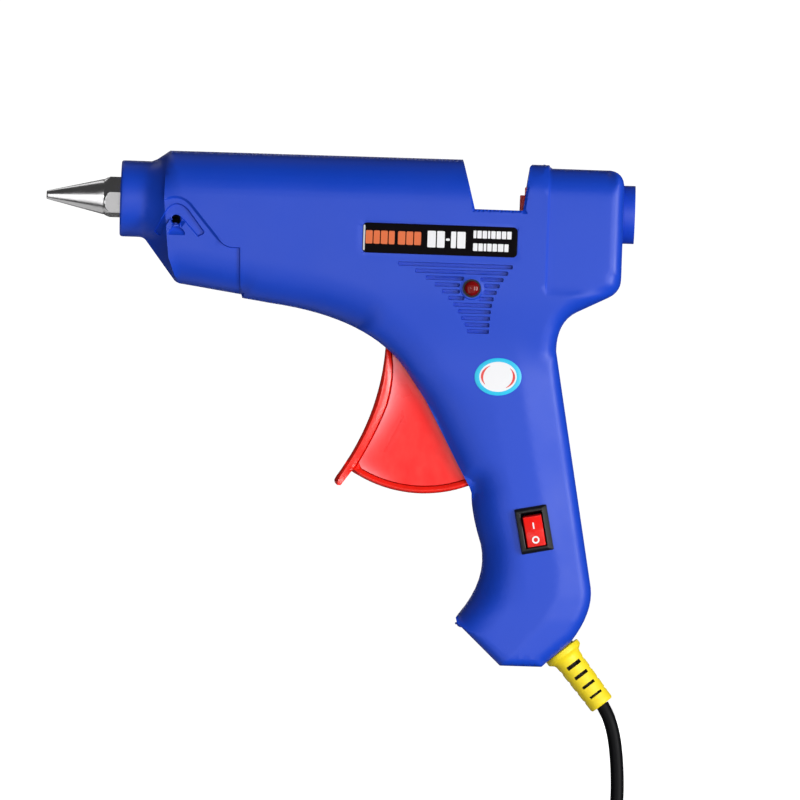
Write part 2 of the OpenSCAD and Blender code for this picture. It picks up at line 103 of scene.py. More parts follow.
# ---- materials
class Nodes:
    """Short names for building one material's node tree."""

    def __init__(self, name, colour, roughness, **sockets):
        self.material = bpy.data.materials.new(name)
        self.material.use_nodes = True
        self.tree = self.material.node_tree
        self.shader = self.tree.nodes["Principled BSDF"]
        self.material.diffuse_color = (*colour, 1)
        self.shader.inputs["Base Color"].default_value = (*colour, 1)
        self.shader.inputs["Roughness"].default_value = roughness
        for key, value in sockets.items():
            self.shader.inputs[key.replace("_", " ")].default_value = value
        self.coords = self.add("ShaderNodeTexCoord").outputs["Object"]

    def add(self, kind, **values):
        node = self.tree.nodes.new(kind)
        for key, value in values.items():
            if hasattr(node, key):
                setattr(node, key, value)
            else:
                node.inputs[key.replace("_", " ")].default_value = value
        return node

    def link(self, out, into):
        self.tree.links.new(out, into)

    def noise(self, scale, detail=3.0, stretch=None, roughness=0.55):
        node = self.add("ShaderNodeTexNoise", Scale=scale, Detail=detail, Roughness=roughness)
        source = self.coords
        if stretch:
            mapping = self.add("ShaderNodeMapping", Scale=stretch)
            self.link(source, mapping.inputs["Vector"])
            source = mapping.outputs["Vector"]
        self.link(source, node.inputs["Vector"])
        return node.outputs["Fac"]

    def span(self, source, low, high, to_low, to_high):
        node = self.add("ShaderNodeMapRange")
        for key, value in (("From Min", low), ("From Max", high), ("To Min", to_low), ("To Max", to_high)):
            node.inputs[key].default_value = value
        self.link(source, node.inputs["Value"])
        return node.outputs["Result"]

    def mix(self, factor, a, b):
        node = self.add("ShaderNodeMix", data_type="RGBA")
        inputs = [s for s in node.inputs if s.type == "RGBA"]
        for value, socket in ((a, inputs[0]), (b, inputs[1])):
            if isinstance(value, tuple):
                socket.default_value = (*value, 1)
            else:
                self.link(value, socket)
        self.link(factor, [s for s in node.inputs if s.type == "VALUE"][0])
        return [s for s in node.outputs if s.type == "RGBA"][0]

    def base(self, socket):
        self.link(socket, self.shader.inputs["Base Color"])

    def mottle(self, source, low, high, colour, dark, bright=1.0):
        """Lets the colour change with the source, between two shades of it."""
        share = self.span(source, low, high, 0.0, 1.0)
        self.base(self.mix(share, shaded(colour, dark), shaded(colour, bright)))

    def rough(self, source, smooth, dull):
        """Lets the roughness change with the source, between two values."""
        self.link(self.span(source, 0.3, 0.7, smooth, dull), self.shader.inputs["Roughness"])

    def bump(self, height, strength, distance):
        node = self.add("ShaderNodeBump", Strength=strength, Distance=distance)
        self.link(height, node.inputs["Height"])
        if self.shader.inputs["Normal"].links:
            self.link(self.shader.inputs["Normal"].links[0].from_socket, node.inputs["Normal"])
        self.link(node.outputs["Normal"], self.shader.inputs["Normal"])


def shaded(colour, by):
    return tuple(min(1.0, c * by) for c in colour)


# Each finish takes its name, colour and roughness first, then what makes it different
def plastic(name, colour, roughness, grain=1500.0, grain_depth=0.00002, strength=0.35, gloss=0.5):
    """Moulded plastic: fine spark-eroded grain, faint flow marks and duller rubbed patches."""
    n = Nodes(name, colour, roughness, Specular_IOR_Level=gloss)
    n.mottle(n.noise(18.0, 2.0, (1.0, 1.0, 0.4)), 0.3, 0.7, colour, 0.94, 1.06)
    n.rough(n.noise(55.0, 5.0), roughness - 0.05, roughness + 0.07)
    n.bump(n.noise(grain, 2.0), strength, grain_depth)
    return n


def polished_metal(name, colour, roughness, streaks=(1.0, 1.0, 14.0)):
    """Metal with fine turning marks and faint smears."""
    n = Nodes(name, colour, roughness, Metallic=1.0)
    marks = n.noise(900.0, 3.0, streaks)
    n.rough(n.noise(160.0, 4.0), roughness - 0.05, roughness + 0.08)
    n.mottle(marks, 0.35, 0.65, colour, 0.88)
    n.bump(marks, 0.12, 0.00002)
    return n


def rubber(name, colour, roughness):
    """Matt rubber or cloth with a fine, even grain."""
    n = Nodes(name, colour, roughness)
    n.mottle(n.noise(240.0), 0.35, 0.65, colour, 0.8)
    n.rough(n.noise(90.0), roughness - 0.06, roughness + 0.08)
    n.bump(n.noise(1600.0, 2.0), 0.3, 0.00003)
    return n


def clouded_and_pale_red(name, colour, roughness):
    """Slightly clear red plastic with clouds of tone, painted pale pink where the mesh's pale value is high.
    """
    n = Nodes(name, colour, roughness, Subsurface_Weight=0.05, Subsurface_Scale=0.003,
              Specular_IOR_Level=0.25)
    clouds = n.noise(70.0, 4.0, (1.4, 1.0, 0.7))
    spots = n.noise(240.0, 3.0)
    body = n.mix(n.span(clouds, 0.42, 0.66, 0.0, 1.0), (1.0, 0.014, 0.012), (1.0, 0.045, 0.038))
    body = n.mix(n.span(spots, 0.55, 0.7, 0.0, 0.35), body, (0.9, 0.012, 0.012))
    # Pale pink mixed in by the mesh's pale value; by the trigger's casing edge that pale is a painted
    # highlight
    n.base(n.mix(n.add("ShaderNodeAttribute", attribute_name="pale").outputs["Fac"], body, (1.0, 0.36, 0.38)))
    n.rough(clouds, 0.26, 0.4)
    n.bump(spots, 0.15, 0.00008)
    return n


def clear_red(name, colour, roughness, gloss):
    """Slightly clear, glossy red plastic."""
    n = Nodes(name, colour, roughness, Subsurface_Weight=0.08, Subsurface_Scale=0.003,
              Specular_IOR_Level=gloss)
    n.mottle(n.noise(110.0, 3.0), 0.35, 0.65, colour, 0.85)
    n.rough(n.noise(140.0), roughness - 0.05, roughness + 0.07)
    n.bump(n.noise(700.0, 2.0), 0.08, 0.00002)
    return n


def print_film(name, colour, roughness, grain=700.0, gloss=0.5):
    """Smooth printed film."""
    return plastic(name, colour, roughness, grain, 0.00001, 0.15, gloss)


CASING_COLOUR = (0.005, 0.056, 0.56)
FINISHES = {
    "casing_blue": (plastic, CASING_COLOUR, 0.43, 1800.0, 0.00003, 0.3, 0.42),
    "inlet_blue": (plastic, CASING_COLOUR, 0.46, 1500.0, 0.00003, 0.25),
    "nozzle_metal": (polished_metal, (0.90, 0.89, 0.90), 0.2),
    "cast_aluminium": (polished_metal, (0.62, 0.62, 0.63), 0.42, (1.0, 1.0, 1.0)),
    "steel": (polished_metal, (0.56, 0.56, 0.58), 0.3),
    "spring_steel": (polished_metal, (0.66, 0.66, 0.68), 0.22),
    "brass": (polished_metal, (0.78, 0.57, 0.24), 0.28),
    "plug_metal": (polished_metal, (0.78, 0.77, 0.75), 0.2, (14.0, 1.0, 1.0)),
    "ceramic": (rubber, (0.25, 0.25, 0.27), 0.8),
    "film": (plastic, (0.62, 0.26, 0.04), 0.25, 500.0, 0.00002, 0.2),
    "silicone": (rubber, (0.42, 0.05, 0.03), 0.55),
    "black_plastic": (plastic, (0.006, 0.006, 0.007), 0.4, 1500.0, 0.00002, 0.2, 0.3),
    "board_green": (plastic, (0.02, 0.17, 0.05), 0.3, 500.0, 0.00002, 0.2),
    "carriage_red": (clear_red, (0.80, 0.008, 0.008), 0.35, 0.3),
    "lamp_red": (clear_red, (0.20, 0.003, 0.003), 0.1, 0.3),
    "rocker_red": (clear_red, (0.90, 0.012, 0.008), 0.3, 0.25),
    "trigger_rim": (clear_red, (1.0, 0.018, 0.008), 0.24, 0.45),
    "trigger_web": (clouded_and_pale_red, (0.95, 0.04, 0.035), 0.36),
    "wire_brown": (rubber, (0.13, 0.05, 0.02), 0.45),
    "wire_blue": (rubber, (0.03, 0.1, 0.4), 0.45),
    "wire_white": (rubber, (0.72, 0.7, 0.64), 0.5),
    "lead_black": (plastic, (0.003, 0.003, 0.004), 0.45, 900.0, 0.00002, 0.3, 0.1),
    "cord_black": (rubber, (0.004, 0.004, 0.005), 0.5),
    "plug_black": (plastic, (0.014, 0.014, 0.016), 0.42, 1300.0, 0.00003, 0.3),
    "tie_black": (rubber, (0.02, 0.02, 0.022), 0.7),
    "relief_yellow": (plastic, (0.97, 0.74, 0.02), 0.42, 900.0, 0.00003, 0.3, 0.3),
    # Dark finish in the strain relief's slots: the black lead seen through them, and painted shade on their
    # walls
    "relief_gap": (rubber, (0.012, 0.008, 0.004), 0.7),
    "mark_white": (print_film, (0.85, 0.85, 0.87), 0.4, 900.0),
    "label_black": (print_film, (0.004, 0.003, 0.004), 0.4, 700.0, 0.02),
    "label_edge": (print_film, (0.52, 0.53, 0.56), 0.3),
    "print_orange": (print_film, (0.72, 0.13, 0.02), 0.4),
    "sticker_cyan": (print_film, (0.012, 0.55, 0.83), 0.32),
    "sticker_red": (print_film, (0.75, 0.05, 0.04), 0.4),
}
MADE = {}


def finish(name):
    """The named finish, made the first time it is asked for."""
    if name not in MADE:
        kind, *values = FINISHES[name]
        MADE[name] = kind(name + "_finish", *values).material
    return MADE[name]


# ---- lights and floor
def circle(centre, r, count):
    angles = [2 * pi * i / count for i in range(count)]
    return [(centre[0] + r * cos(a), centre[1] + r * sin(a)) for a in angles]


def add_softbox(name, place, target, size, power):
    data = bpy.data.lights.new(name, "AREA")
    data.shape = "RECTANGLE"
    data.size, data.size_y = size
    data.energy = power
    light = new_object(name, data)
    light.location = place
    light.rotation_euler = (target - place).to_track_quat("-Z", "Y").to_euler()
    light.visible_camera = False


# Each softbox: where it is from the tool's middle, its size, and its power; all look at that middle
SOFTBOXES = {
    "right": ((0.62, -1.36, 0.02), (0.26, 0.8), 6),
    "side": ((1.2, -0.9, 0), (0.35, 0.9), 15),
    "left": ((-0.78, -1.32, -0.5), (0.5, 1.9), 3.8),
    "behind": ((-0.42, 0.63, 0.98), (0.3, 0.9), 0.8),
    "back": ((0.1, 1.95, 0.1), (1.2, 1.4), 7),
    "spark": ((-0.18, -1.5, 0.08), (0.15, 0.15), 1.2),
}


def add_lights():
    """A broad front light straight on, long boxes for the highlights, and one under the nozzle."""
    middle = at(115, 0, -60)
    tip = at(12, 0, 0)
    front = middle + Vector((0.2, -1.5, -0.3))
    add_softbox("front", front, front + Vector((0, 1, 0)), (2.2, 2.2), 8.6)
    for name, (away, size, power) in SOFTBOXES.items():
        add_softbox(name, middle + Vector(away), middle, size, power)
    add_softbox("under", tip + Vector((-0.15, 0.14, -0.46)), tip, (0.45, 0.45), 0.28)
    world = bpy.data.worlds.new("world")
    world.use_nodes = True
    background = world.node_tree.nodes["Background"]
    background.inputs["Color"].default_value = (1, 1, 1, 1)
    background.inputs["Strength"].default_value = 0.05
    bpy.context.scene.world = world
    bpy.context.scene.view_settings.view_transform = "Standard"


def add_floor():
    """A pale round floor whose far edge curves up, so that it is behind the object from every side."""
    low = cad_box[0][2] - 0.0007
    radius, cove, top = 7.0, 0.6, 1.6
    bends = [radians(10 * i) for i in range(1, 10)]
    profile = [(0.6, low), (2.0, low), (radius - cove, low)]
    profile += [(radius - cove + cove * sin(a), low + cove * (1 - cos(a))) for a in bends]
    profile += [(radius, low + top)]
    bm = bmesh.new()
    tower(bm, [[(x, y, z) for x, y in circle((0, 0), r, 72)] for r, z in profile], (True, False))
    mesh = mesh_of("floor", bm)
    mesh.polygons.foreach_set("use_smooth", [True] * len(mesh.polygons))
    floor = new_object("floor", mesh)
    n = Nodes("floor", (0.93, 0.93, 0.93), 0.8, Emission_Color=(1, 1, 1, 1))
    n.rough(n.noise(30.0), 0.75, 0.85)
    away = n.add("ShaderNodeVectorMath", operation="LENGTH")
    n.link(n.coords, away.inputs[0])
    n.link(n.span(away.outputs["Value"], 0.3, 0.75, 0.78, 1.0), n.shader.inputs["Emission Strength"])
    mesh.materials.append(n.material)
    floor.visible_glossy = False
    floor.visible_diffuse = False
    floor.visible_shadow = False


# ---- mains lead
CORD_D = 4.6
FLOOR_Z = -221.5
COIL = (150, 0)
PLUG_Z = FLOOR_Z + 6.8
RELIEF_AT = (180.2, -148.6)
RELIEF_TURN = radians(141.1)
RELIEF_L = 23.3
SLOT_TURN = 6
RELIEF_END = (194.83, 0, -166.72)
LEAD_ROUTE = [
    RELIEF_END, (196.6, 0, -169.6), (198, 0, -173), (199.2, 0, -177.4), (200, 0, -182.4),
    (200.6, 0, -188), (200.9, 0, -193.6), (201, 0, -199.2), (200.4, 0.4, -204.4), (198.9, 1.6, -209.2),
    (196.3, 3.5, -213.3), (193, 6, -216.5), (189.1, 8.9, -218.5), (185, 12, -219.2), (179.6, 16, -219.2),
    (174.2, 20, -219.2), (169.2, 23.2, -219.2), (164, 25.5, -219.2), (158.6, 26.8, -219.2),
    (153, 27.3, -219.2)]
TAIL_ROUTE = [
    (143, 29.5, -216.2), (137, 28.6, -217.4), (131.6, 26.6, -218.4), (127, 23.4, -219), (123, 19.6, -218.8),
    (119, 16, -217.6), (115, 12.8, -215.4), (112.4, 12, PLUG_Z), (110.05, 12, PLUG_Z)]
# Radius and height of each turn of the coil: two on the floor, three on them, two on top
TURNS = [(27.3, -219.2), (22.7, -219.2), (20.4, -215.2), (22.7, -211.2), (27.3, -211.2), (25, -215.2),
         (29.6, -215.2)]


def coil_points():
    """The coil's turns, each stepping over to the next place in the last part of its circle."""
    steps = 36
    step_over = 0.2
    points = []
    for i, (r, z) in enumerate(TURNS):
        to_r, to_z = TURNS[min(i + 1, len(TURNS) - 1)]
        for k in range(steps):
            t = k / steps
            s = max(0.0, (t - 1 + step_over) / step_over)
            s = s * s * (3 - 2 * s)
            angle = pi / 2 + 2 * pi * t
            radius = r + (to_r - r) * s
            x, y = COIL[0] + radius * cos(angle), COIL[1] + radius * sin(angle)
            points.append((x, y, z + (to_z - z) * s))
    points.append((COIL[0], COIL[1] + TURNS[-1][0], TURNS[-1][1]))
    return points


def add_lead():
    route = LEAD_ROUTE + coil_points() + TAIL_ROUTE
    curve = bpy.data.curves.new("mains_lead", "CURVE")
    curve.dimensions = "3D"
    curve.bevel_depth = CORD_D / 2 * MM
    curve.bevel_resolution = 5
    curve.use_fill_caps = True
    curve.resolution_u = 3
    spline = curve.splines.new("NURBS")
    spline.points.add(len(route) - 1)
    for point, place in zip(spline.points, route):
        point.co = (*at(*place), 1)
    spline.order_u = 4
    spline.use_endpoint_u = True
    lead = new_object("mains_lead", curve)
    curve.materials.append(finish("lead_black"))
    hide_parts("supply_cord", "cord_coil", "plug_cord")
    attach(lead, "casing")
    return lead


lead = add_lead()

# ---- casing halves
# Half widths of the barrel, the grip, the casing beside the trigger, and the least along the outline
BODY_HALF = 18.5
GRIP_HALF = 15.5
GATE_HALF = 9.5
LEAST_HALF = 2.0
# The sides bulge a little: where they are widest, and their radius above and below that
CROWN_Z = -9
CROWN_R_ABOVE, CROWN_R_BELOW = 300, 700
# How much the grip's facets lean, and how deep the steps and recesses are
REAR_FACET, FRONT_FACET = radians(11), radians(5.5)
REAR_STEP, POD_STEP = 0.75, 0.85
CHANNEL_DEPTH = 1.0
SCOOP_DEPTH, SCOOP_RISE = 0.3, 1.1
LABEL_SINK = 0.3
COLLAR_R = 12.95
COLLAR_Z = -0.35
COLLAR_X0, COLLAR_X1 = 25.3, 35.4
COLLAR_TOP, COLLAR_LOW = COLLAR_Z + COLLAR_R, COLLAR_Z - COLLAR_R
WALL = 2.2
# Widths of the slopes at the edges of the recesses and grooves
RECESS_EDGE = 0.4
GROOVE_EDGE = 0.16
LAMP_AT = (145.5, -27.0)
STAND_HOLE = (44.6, -7.1)
STAND_HOLE_R, STAND_RIM_R = 1.6, 1.9
STAND_RIM_DEPTH, STAND_HOLE_DEPTH = 1.7, 6.5
SWITCH_AT = (169.4, -107.85)
SWITCH_LEAN = radians(11.5)
LABEL_BOX = (107.8, -16.3, 160.5, -5.7)
LABEL_PLATE = (108.0, -16.1, 160.3, -5.9)
SCREWS = [(54, -22.5), (104, -30), (188, -18), (167, -47), (157, -140), (174, -90)]
SCREW_R, SCREW_HEAD_AT = 3.16, 8.0
GROOVES = [(120.2, 159.1), (126.1, 157.6), (129.8, 156.1), (132.9, 154.9), (135.4, 154.0), (137.6, 153.0),
           (139.4, 152.5), (141.0, 152.2), (142.2, 152.0), (143.4, 151.9), (144.3, 151.8)]
GROOVE_Z0, GROOVE_PITCH = -19.4, 2.21
GROOVE_HALF, GROOVE_DEPTH = 0.7, 1.9
LAMP_RING = (3.6, 3.95)       # flat top and foot of the ring moulded round the lamp
LAMP_CLEAR = 4.2


def bend(a, b, c, steps=8):
    """Points of a smooth bend from a to c that leans towards b."""
    points = []
    for i in range(steps + 1):
        t = i / steps
        points.append(tuple((1 - t) ** 2 * p + 2 * t * (1 - t) * q + t * t * r for p, q, r in zip(a, b, c)))
    return points


GATE_LINE = [(147.1, -94.3), (143.9, -88.7), (131.2, -65.3), (124.6, -56)] + \
    bend((124.6, -56), (118.3, -47), (106.5, -41.55))
# Runs of the casing's outline: points, then how far in the rounding reaches and how deep it drops
RUNS = [
    ([(COLLAR_X0, COLLAR_LOW + 0.9), (COLLAR_X0, COLLAR_TOP - 0.9)], 1.1, 0),
    (bend((COLLAR_X0, COLLAR_TOP - 0.9), (COLLAR_X0, COLLAR_TOP), (COLLAR_X0 + 0.9, COLLAR_TOP), 4) +
     [(COLLAR_X1, COLLAR_TOP)], COLLAR_R, 0),
    ([(COLLAR_X1, COLLAR_TOP), (37.2, 13.3), (41.6, 16.4), (141.1, 16.8)], 15.0, 15.0),
    ([(141.1, 16.8), (145.6, -0.1)], 0.8, 0.8),
    ([(145.6, -0.1), (161.9, -0.1)], 0.8, 0.8),
    ([(161.9, -0.1), (163.9, 15.1), (164.5, 15.8)], 0.9, 0.9),
    ([(164.5, 15.8), (170.4, 15.8), (171.0, 14.7), (190.0, 14.7)], 9.5, 10.0),
    (bend((190.0, 14.7), (196, 14.6), (196, 8.6)) + [(196, -22.6)], 4.5, 4.3),
    (bend((196, -22.6), (195.8, -26.6), (191.8, -28.6)) +
     bend((181.4, -33.8), (174.6, -37.4), (174.9, -47.4)), 6.0, 5.8),
    ([(174.9, -47.4), (189.4, -127)] +
     bend((189.4, -127), (190.6, -135.4), (183.4, -145.5)) + [(175, -153.1)], 4.2, 4.0),
    ([(175, -153.1), (173.6, -154.4), (159.4, -154.4)], 2.5, 2.5),
    ([(159.4, -154.4), (144.4, -140.4), (144, -139), (144.8, -137.6)], 4.0, 3.6),
    (bend((144.8, -137.6), (154.6, -125.4), (151.6, -113.6)) +
     bend((151.6, -113.6), (147.9, -103), (147.9, -96.4)) + [(147.1, -94.3)], 13.0, 12.0),
    (GATE_LINE, 12.5, 6.0),
    (bend((106.5, -41.55), (94.7, -36.1), (77.4, -34.2)) + [(67.7, -32.8)], 14.0, 11.0),
    ([(67.7, -32.8), (67.4, -31.6), (53.4, -29.6), (46.2, -28.6)], 12.5, 11.0),
    (bend((46.2, -28.6), (44.8, -28.3), (44.0, -27.0), 3) + [(34.2, -14.3)], 8.0, 0),
    (bend((34.2, -14.3), (33.3, COLLAR_LOW), (31.8, COLLAR_LOW), 4) +
     bend((COLLAR_X0 + 0.9, COLLAR_LOW), (COLLAR_X0, COLLAR_LOW), (COLLAR_X0, COLLAR_LOW + 0.9), 4),
     COLLAR_R, 0),
]
# Creases of the grip's facets, then the edges of the pod under the nose, the neck and the rear housing
CREASE_REAR = [(160.3, -43.9), (163.6, -59), (168.2, -81.5), (171.7, -97.9), (176.9, -116.7), (178.3, -122.4),
               (177.9, -130), (174, -138.4), (164, -150), (160, -154.6)]
CREASE_FRONT = [(150.4, -48), (152.6, -59), (156.6, -78.6), (162.2, -97.4), (166.6, -117.8), (167, -128.6),
                (166, -136)]
POD_LINE = [(40.3, 18)] + bend((40.2, -0.9), (44.9, 2.2), (49.2, -1.7), 6) + \
    bend((58.9, -13.1), (61.2, -16.0), (64.0, -16.0), 4) + [(66.5, -16.0), (67.2, -36)]
POD = [(40.3, 30)] + POD_LINE[1:-1] + [(67.9, -60), (0, -60), (0, 30)]
NECK_LINE = [(40.3, 0), (42.4, -20), (45.58, -28.5)]
REAR_X = 170.5
REAR_LINE = [(REAR_X, 17), (REAR_X, -29.5)]
# Where the folded wire stand lies: its bent channel, and the scoop for a fingertip
CHEVRON = [(37.1, -11.3)] + bend((41.5, -3.3), (44.8, 0.15), (48.6, -3.4), 6) + \
    [(54.4, -11.0), (54.1, -11.8), (52.2, -12.8)] + bend((47.2, -7.4), (44.8, -4.6), (42.4, -7.4), 4) + \
    [(39.4, -12.8), (38.3, -12.4)]
SCOOP_AT, SCOOP_R = (44.9, -12.4), 2.95
SCOOP = [(SCOOP_AT[0] + SCOOP_R * cos(a), SCOOP_AT[1] + SCOOP_R * sin(a))
         for a in (pi * i / 16 for i in range(17))]


def resampled(points, step):
    """The same polyline with points no further apart than the step."""
    out = [points[0]]
    for a, b in zip(points, points[1:]):
        count = max(1, ceil(dist(a, b) / step))
        shares = [i / count for i in range(1, count + 1)]
        out += [(a[0] + (b[0] - a[0]) * t, a[1] + (b[1] - a[1]) * t) for t in shares]
    return out


def distance_to(points, line):
    """Distance of each point from a polyline."""
    line = np.asarray(line, float)
    a, b = line[:-1], line[1:]
    ab = b - a
    length2 = np.maximum((ab ** 2).sum(1), 1e-9)
    best = np.full(len(points), 1e9)
    for i in range(0, len(points), 4000):
        p = points[i:i + 4000]
        t = np.clip(((p[:, None] - a) * ab).sum(2) / length2, 0, 1)
        best[i:i + 4000] = np.sqrt(((p[:, None] - a - t[..., None] * ab) ** 2).sum(2)).min(1)
    return best


def inside(points, polygon):
    """Whether each point is inside a closed polygon."""
    x, y = points[:, 0][:, None], points[:, 1][:, None]
    a = np.asarray(polygon)
    b = np.roll(a, -1, axis=0)
    crosses = (a[:, 1] > y) != (b[:, 1] > y)
    rise = np.where(b[:, 1] == a[:, 1], 1e-9, b[:, 1] - a[:, 1])
    at_x = a[:, 0] + (y - a[:, 1]) * (b[:, 0] - a[:, 0]) / rise
    return (crosses & (x < at_x)).sum(1) % 2 == 1


def closed(polygon):
    """The polygon's points with the first one again at the end."""
    return np.asarray(list(polygon) + [polygon[0]], float)


def depth_inside(points, polygon):
    """Distance from a polygon's edge, positive inside it."""
    sign = np.where(inside(points, polygon), 1.0, -1.0)
    return sign * distance_to(points, closed(polygon))


def away_from(centre, x, z):
    return np.sqrt((x - centre[0]) ** 2 + (z - centre[1]) ** 2)


def ease(value, low, high):
    """Rises smoothly from 0 at the low value to 1 at the high one."""
    t = np.clip((value - low) / (high - low), 0, 1)
    return t * t * (3 - 2 * t)


def between(value, rise, risen, fall, fallen):
    """Rises smoothly from 0 to 1, and falls back to 0 further on."""
    return ease(value, rise, risen) * (1 - ease(value, fall, fallen))


def half_chord(r, z):
    """Half the width of a circle at a height, or 0 outside it."""
    return np.sqrt(np.maximum(0, r ** 2 - z ** 2))


def rounded_box(x0, z0, x1, z1, r, steps=4):
    """A box in the side view, with its corners rounded."""
    points = []
    corners = ((x1 - r, z1 - r), (x0 + r, z1 - r), (x0 + r, z0 + r), (x1 - r, z0 + r))
    for quarter, (x, z) in enumerate(corners):
        angles = [radians(90 * (quarter + i / steps)) for i in range(steps + 1)]
        points += [(x + r * cos(a), z + r * sin(a)) for a in angles]
    return points


def on_switch(x, z):
    """Across and along the leaning switch, to a point of the side view."""
    c, s = cos(SWITCH_LEAN), sin(SWITCH_LEAN)
    return (SWITCH_AT[0] + x * c - z * s, SWITCH_AT[1] + x * s + z * c)


def groove_parts():
    """Each groove as boxes, cut short by the clear space round the lamp."""
    parts = []
    for i, (x0, x1) in enumerate(GROOVES):
        z = GROOVE_Z0 - i * GROOVE_PITCH
        off = abs(z - LAMP_AT[1])
        if off < LAMP_CLEAR:
            half = sqrt(LAMP_CLEAR ** 2 - off ** 2)
            parts += [(x0, z, LAMP_AT[0] - half), (LAMP_AT[0] + half, z, x1)]
        else:
            parts.append((x0, z, x1))
    shortest = 1.2
    return [rounded_box(a, z - GROOVE_HALF, b, z + GROOVE_HALF, 0.45, 3)
            for a, z, b in parts if b - a > shortest]


GROOVE_BOXES = groove_parts()


def neck(x, z, body):
    """The collar's round section, which runs into the body over the neck and the slanted chin."""
    below = np.clip((COLLAR_LOW - z) / 15.0, 0, 1)
    core = np.maximum(half_chord(COLLAR_R, z - COLLAR_Z), np.where(below > 0, 0.6 + 8.4 * below ** 0.8, 0.35))
    start = np.interp(-z, [-COLLAR_TOP, -COLLAR_LOW, 14.3, 27.0, 28.6], [35.2, 32.6, 34.2, 44.0, 46.2])
    stop = np.interp(-z, [-16.4, 0, 20, 28.6], [41.0, 40.3, 42.4, 45.6])
    t = np.clip((x - start) / np.maximum(stop - start, 0.8), 0, 1)
    front = np.clip((x - COLLAR_X0) / 1.1, 0, 1)
    return core + (body - core) * t ** 1.2 - 0.9 * (1 - np.sqrt(1 - (1 - front) ** 2))


def crease_x(crease, z):
    """Where a crease that runs downwards is at each height."""
    upwards = np.asarray(crease[::-1], float)
    return np.interp(z, upwards[:, 1], upwards[:, 0])


def past_crease(distance, soft=0.35):
    """How far a point is past a crease, easing in from nothing before it."""
    return 0.5 * (distance + np.sqrt(distance ** 2 + soft ** 2))


def casing_height(points, side):
    """Half width of the casing over a point of its side view, in millimetres."""
    x, z = points[:, 0], points[:, 1]
    crown_r = np.where(z > CROWN_Z, CROWN_R_ABOVE, CROWN_R_BELOW)
    wide = BODY_HALF - (z - CROWN_Z) ** 2 / (2 * crown_r)
    wide = wide + (GRIP_HALF - wide) * ease(-z, 27, 54) * ease(x, 60, 110)
    # Facets of the grip, whose creases are a little soft
    behind = past_crease(x - crease_x(CREASE_REAR, z))
    ahead = past_crease(crease_x(CREASE_FRONT, z) - x)
    wide = wide - tan(REAR_FACET) * behind * ease(-z, 40, 60)
    wide = wide - tan(FRONT_FACET) * ahead * between(-z, 54, 72, 128, 138)
    # Rounding along the outline: the drops of all its runs, blended
    power = 5.0
    total = np.zeros(len(points))
    for line, reach, drop in RUNS:
        t = np.clip(distance_to(points, line) / reach, 0, 1)
        total += (drop * (1 - np.sqrt(1 - (1 - t) ** 2))) ** power
    gate = between(x, 108, 118, 150, 156) * between(-z, 36, 44, 92, 104)
    least = GATE_HALF * gate + LEAST_HALF * (1 - gate)
    height = neck(x, z, np.maximum(wide - total ** (1 / power), least))
    # Steps: rear housing, pod under the nose, and the channel and scoop where the wire stand folds in
    height = height - REAR_STEP * ease(x, REAR_X - 0.42, REAR_X + 0.42) * (1 - ease(-z, 26, 29))
    slope = 0.16 + 0.28 * between(x, 40.6, 42, 58, 61)
    pod = ease(depth_inside(points, POD) / slope, -1, 1) * ease(x, 34.5, 39)
    height = height - POD_STEP * pod * (1 - ease(z, 4, 15))
    height = height - CHANNEL_DEPTH * ease(depth_inside(points, CHEVRON), 0.0, RECESS_EDGE)
    rise = np.clip((z - SCOOP_AT[1]) / SCOOP_R, 0, 1)
    scoop = ease(depth_inside(points, SCOOP), 0.0, RECESS_EDGE)
    height = height - (SCOOP_DEPTH + SCOOP_RISE * rise) * scoop
    height = np.maximum(height, 0.35)
    # Grooves, then the left half's label recess and lamp ring or the right half's screw counterbores
    for groove in GROOVE_BOXES:
        near = np.abs(z - groove[0][1]) < 2.5
        height[near] -= GROOVE_DEPTH * ease(depth_inside(points[near], groove), 0.0, GROOVE_EDGE)
    if side == LEFT:
        height = np.where(inside(points, rounded_box(*LABEL_BOX, 1.5)), BODY_HALF - LABEL_SINK, height)
        raised = 1 - ease(away_from(LAMP_AT, x, z), *LAMP_RING)
        height = height + (BODY_HALF - 0.02 - height) * raised
    else:
        for screw in SCREWS:
            height = np.where(away_from(screw, x, z) < SCREW_R, SCREW_HEAD_AT, height)
    stand = away_from(STAND_HOLE, x, z)
    slant = BODY_HALF - STAND_RIM_DEPTH - (STAND_RIM_R - stand)
    rim = np.where(stand < STAND_RIM_R, slant, height)
    return np.where(stand < STAND_HOLE_R + 0.04, BODY_HALF - STAND_HOLE_DEPTH, np.minimum(rim, height))


def wall_end(points):
    """How far in the outline's edge wall goes: to the middle, or to the edge of an opening."""
    x, z = points[:, 0], points[:, 1]
    nozzle_r, inlet_r, window_half, gate_half = 10.4, 8.0, 9.2, 8.9
    end = np.where(x < COLLAR_X0 + 0.05, half_chord(nozzle_r, z), 0)
    end = np.where(x > 195.9, half_chord(inlet_r, z), end)
    window = (x > 141) & (x < 164.9) & (z > -1.3) & (z < 11.4)
    end = np.where(window, window_half, end)
    gate = (x > 114.6) & (x < 149) & (distance_to(points, GATE_LINE) < 0.4)
    return np.where(gate, gate_half, end)


def looped(loop, step):
    """A closed loop with points no further apart than the step."""
    return resampled(list(loop) + [loop[0]], step)[:-1]


def leftwards(way):
    """Unit vectors to the left of the given ways."""
    return np.stack([-way[:, 1], way[:, 0]], 1) / np.linalg.norm(way, axis=1)[:, None]


def inset(loop, by, step=1.0):
    """A closed loop moved inwards, or outwards where by is negative."""
    points = np.asarray(looped(loop, step))
    after = np.roll(points, -1, axis=0)
    area = (points[:, 0] * after[:, 1] - after[:, 0] * points[:, 1]).sum()
    return points + leftwards(after - np.roll(points, 1, axis=0)) * by * (1 if area > 0 else -1)


def beside(line, by, step=1.2):
    """A polyline moved to its left."""
    points = np.asarray(resampled(line, step), float)
    return points + leftwards(np.gradient(points, axis=0)) * by


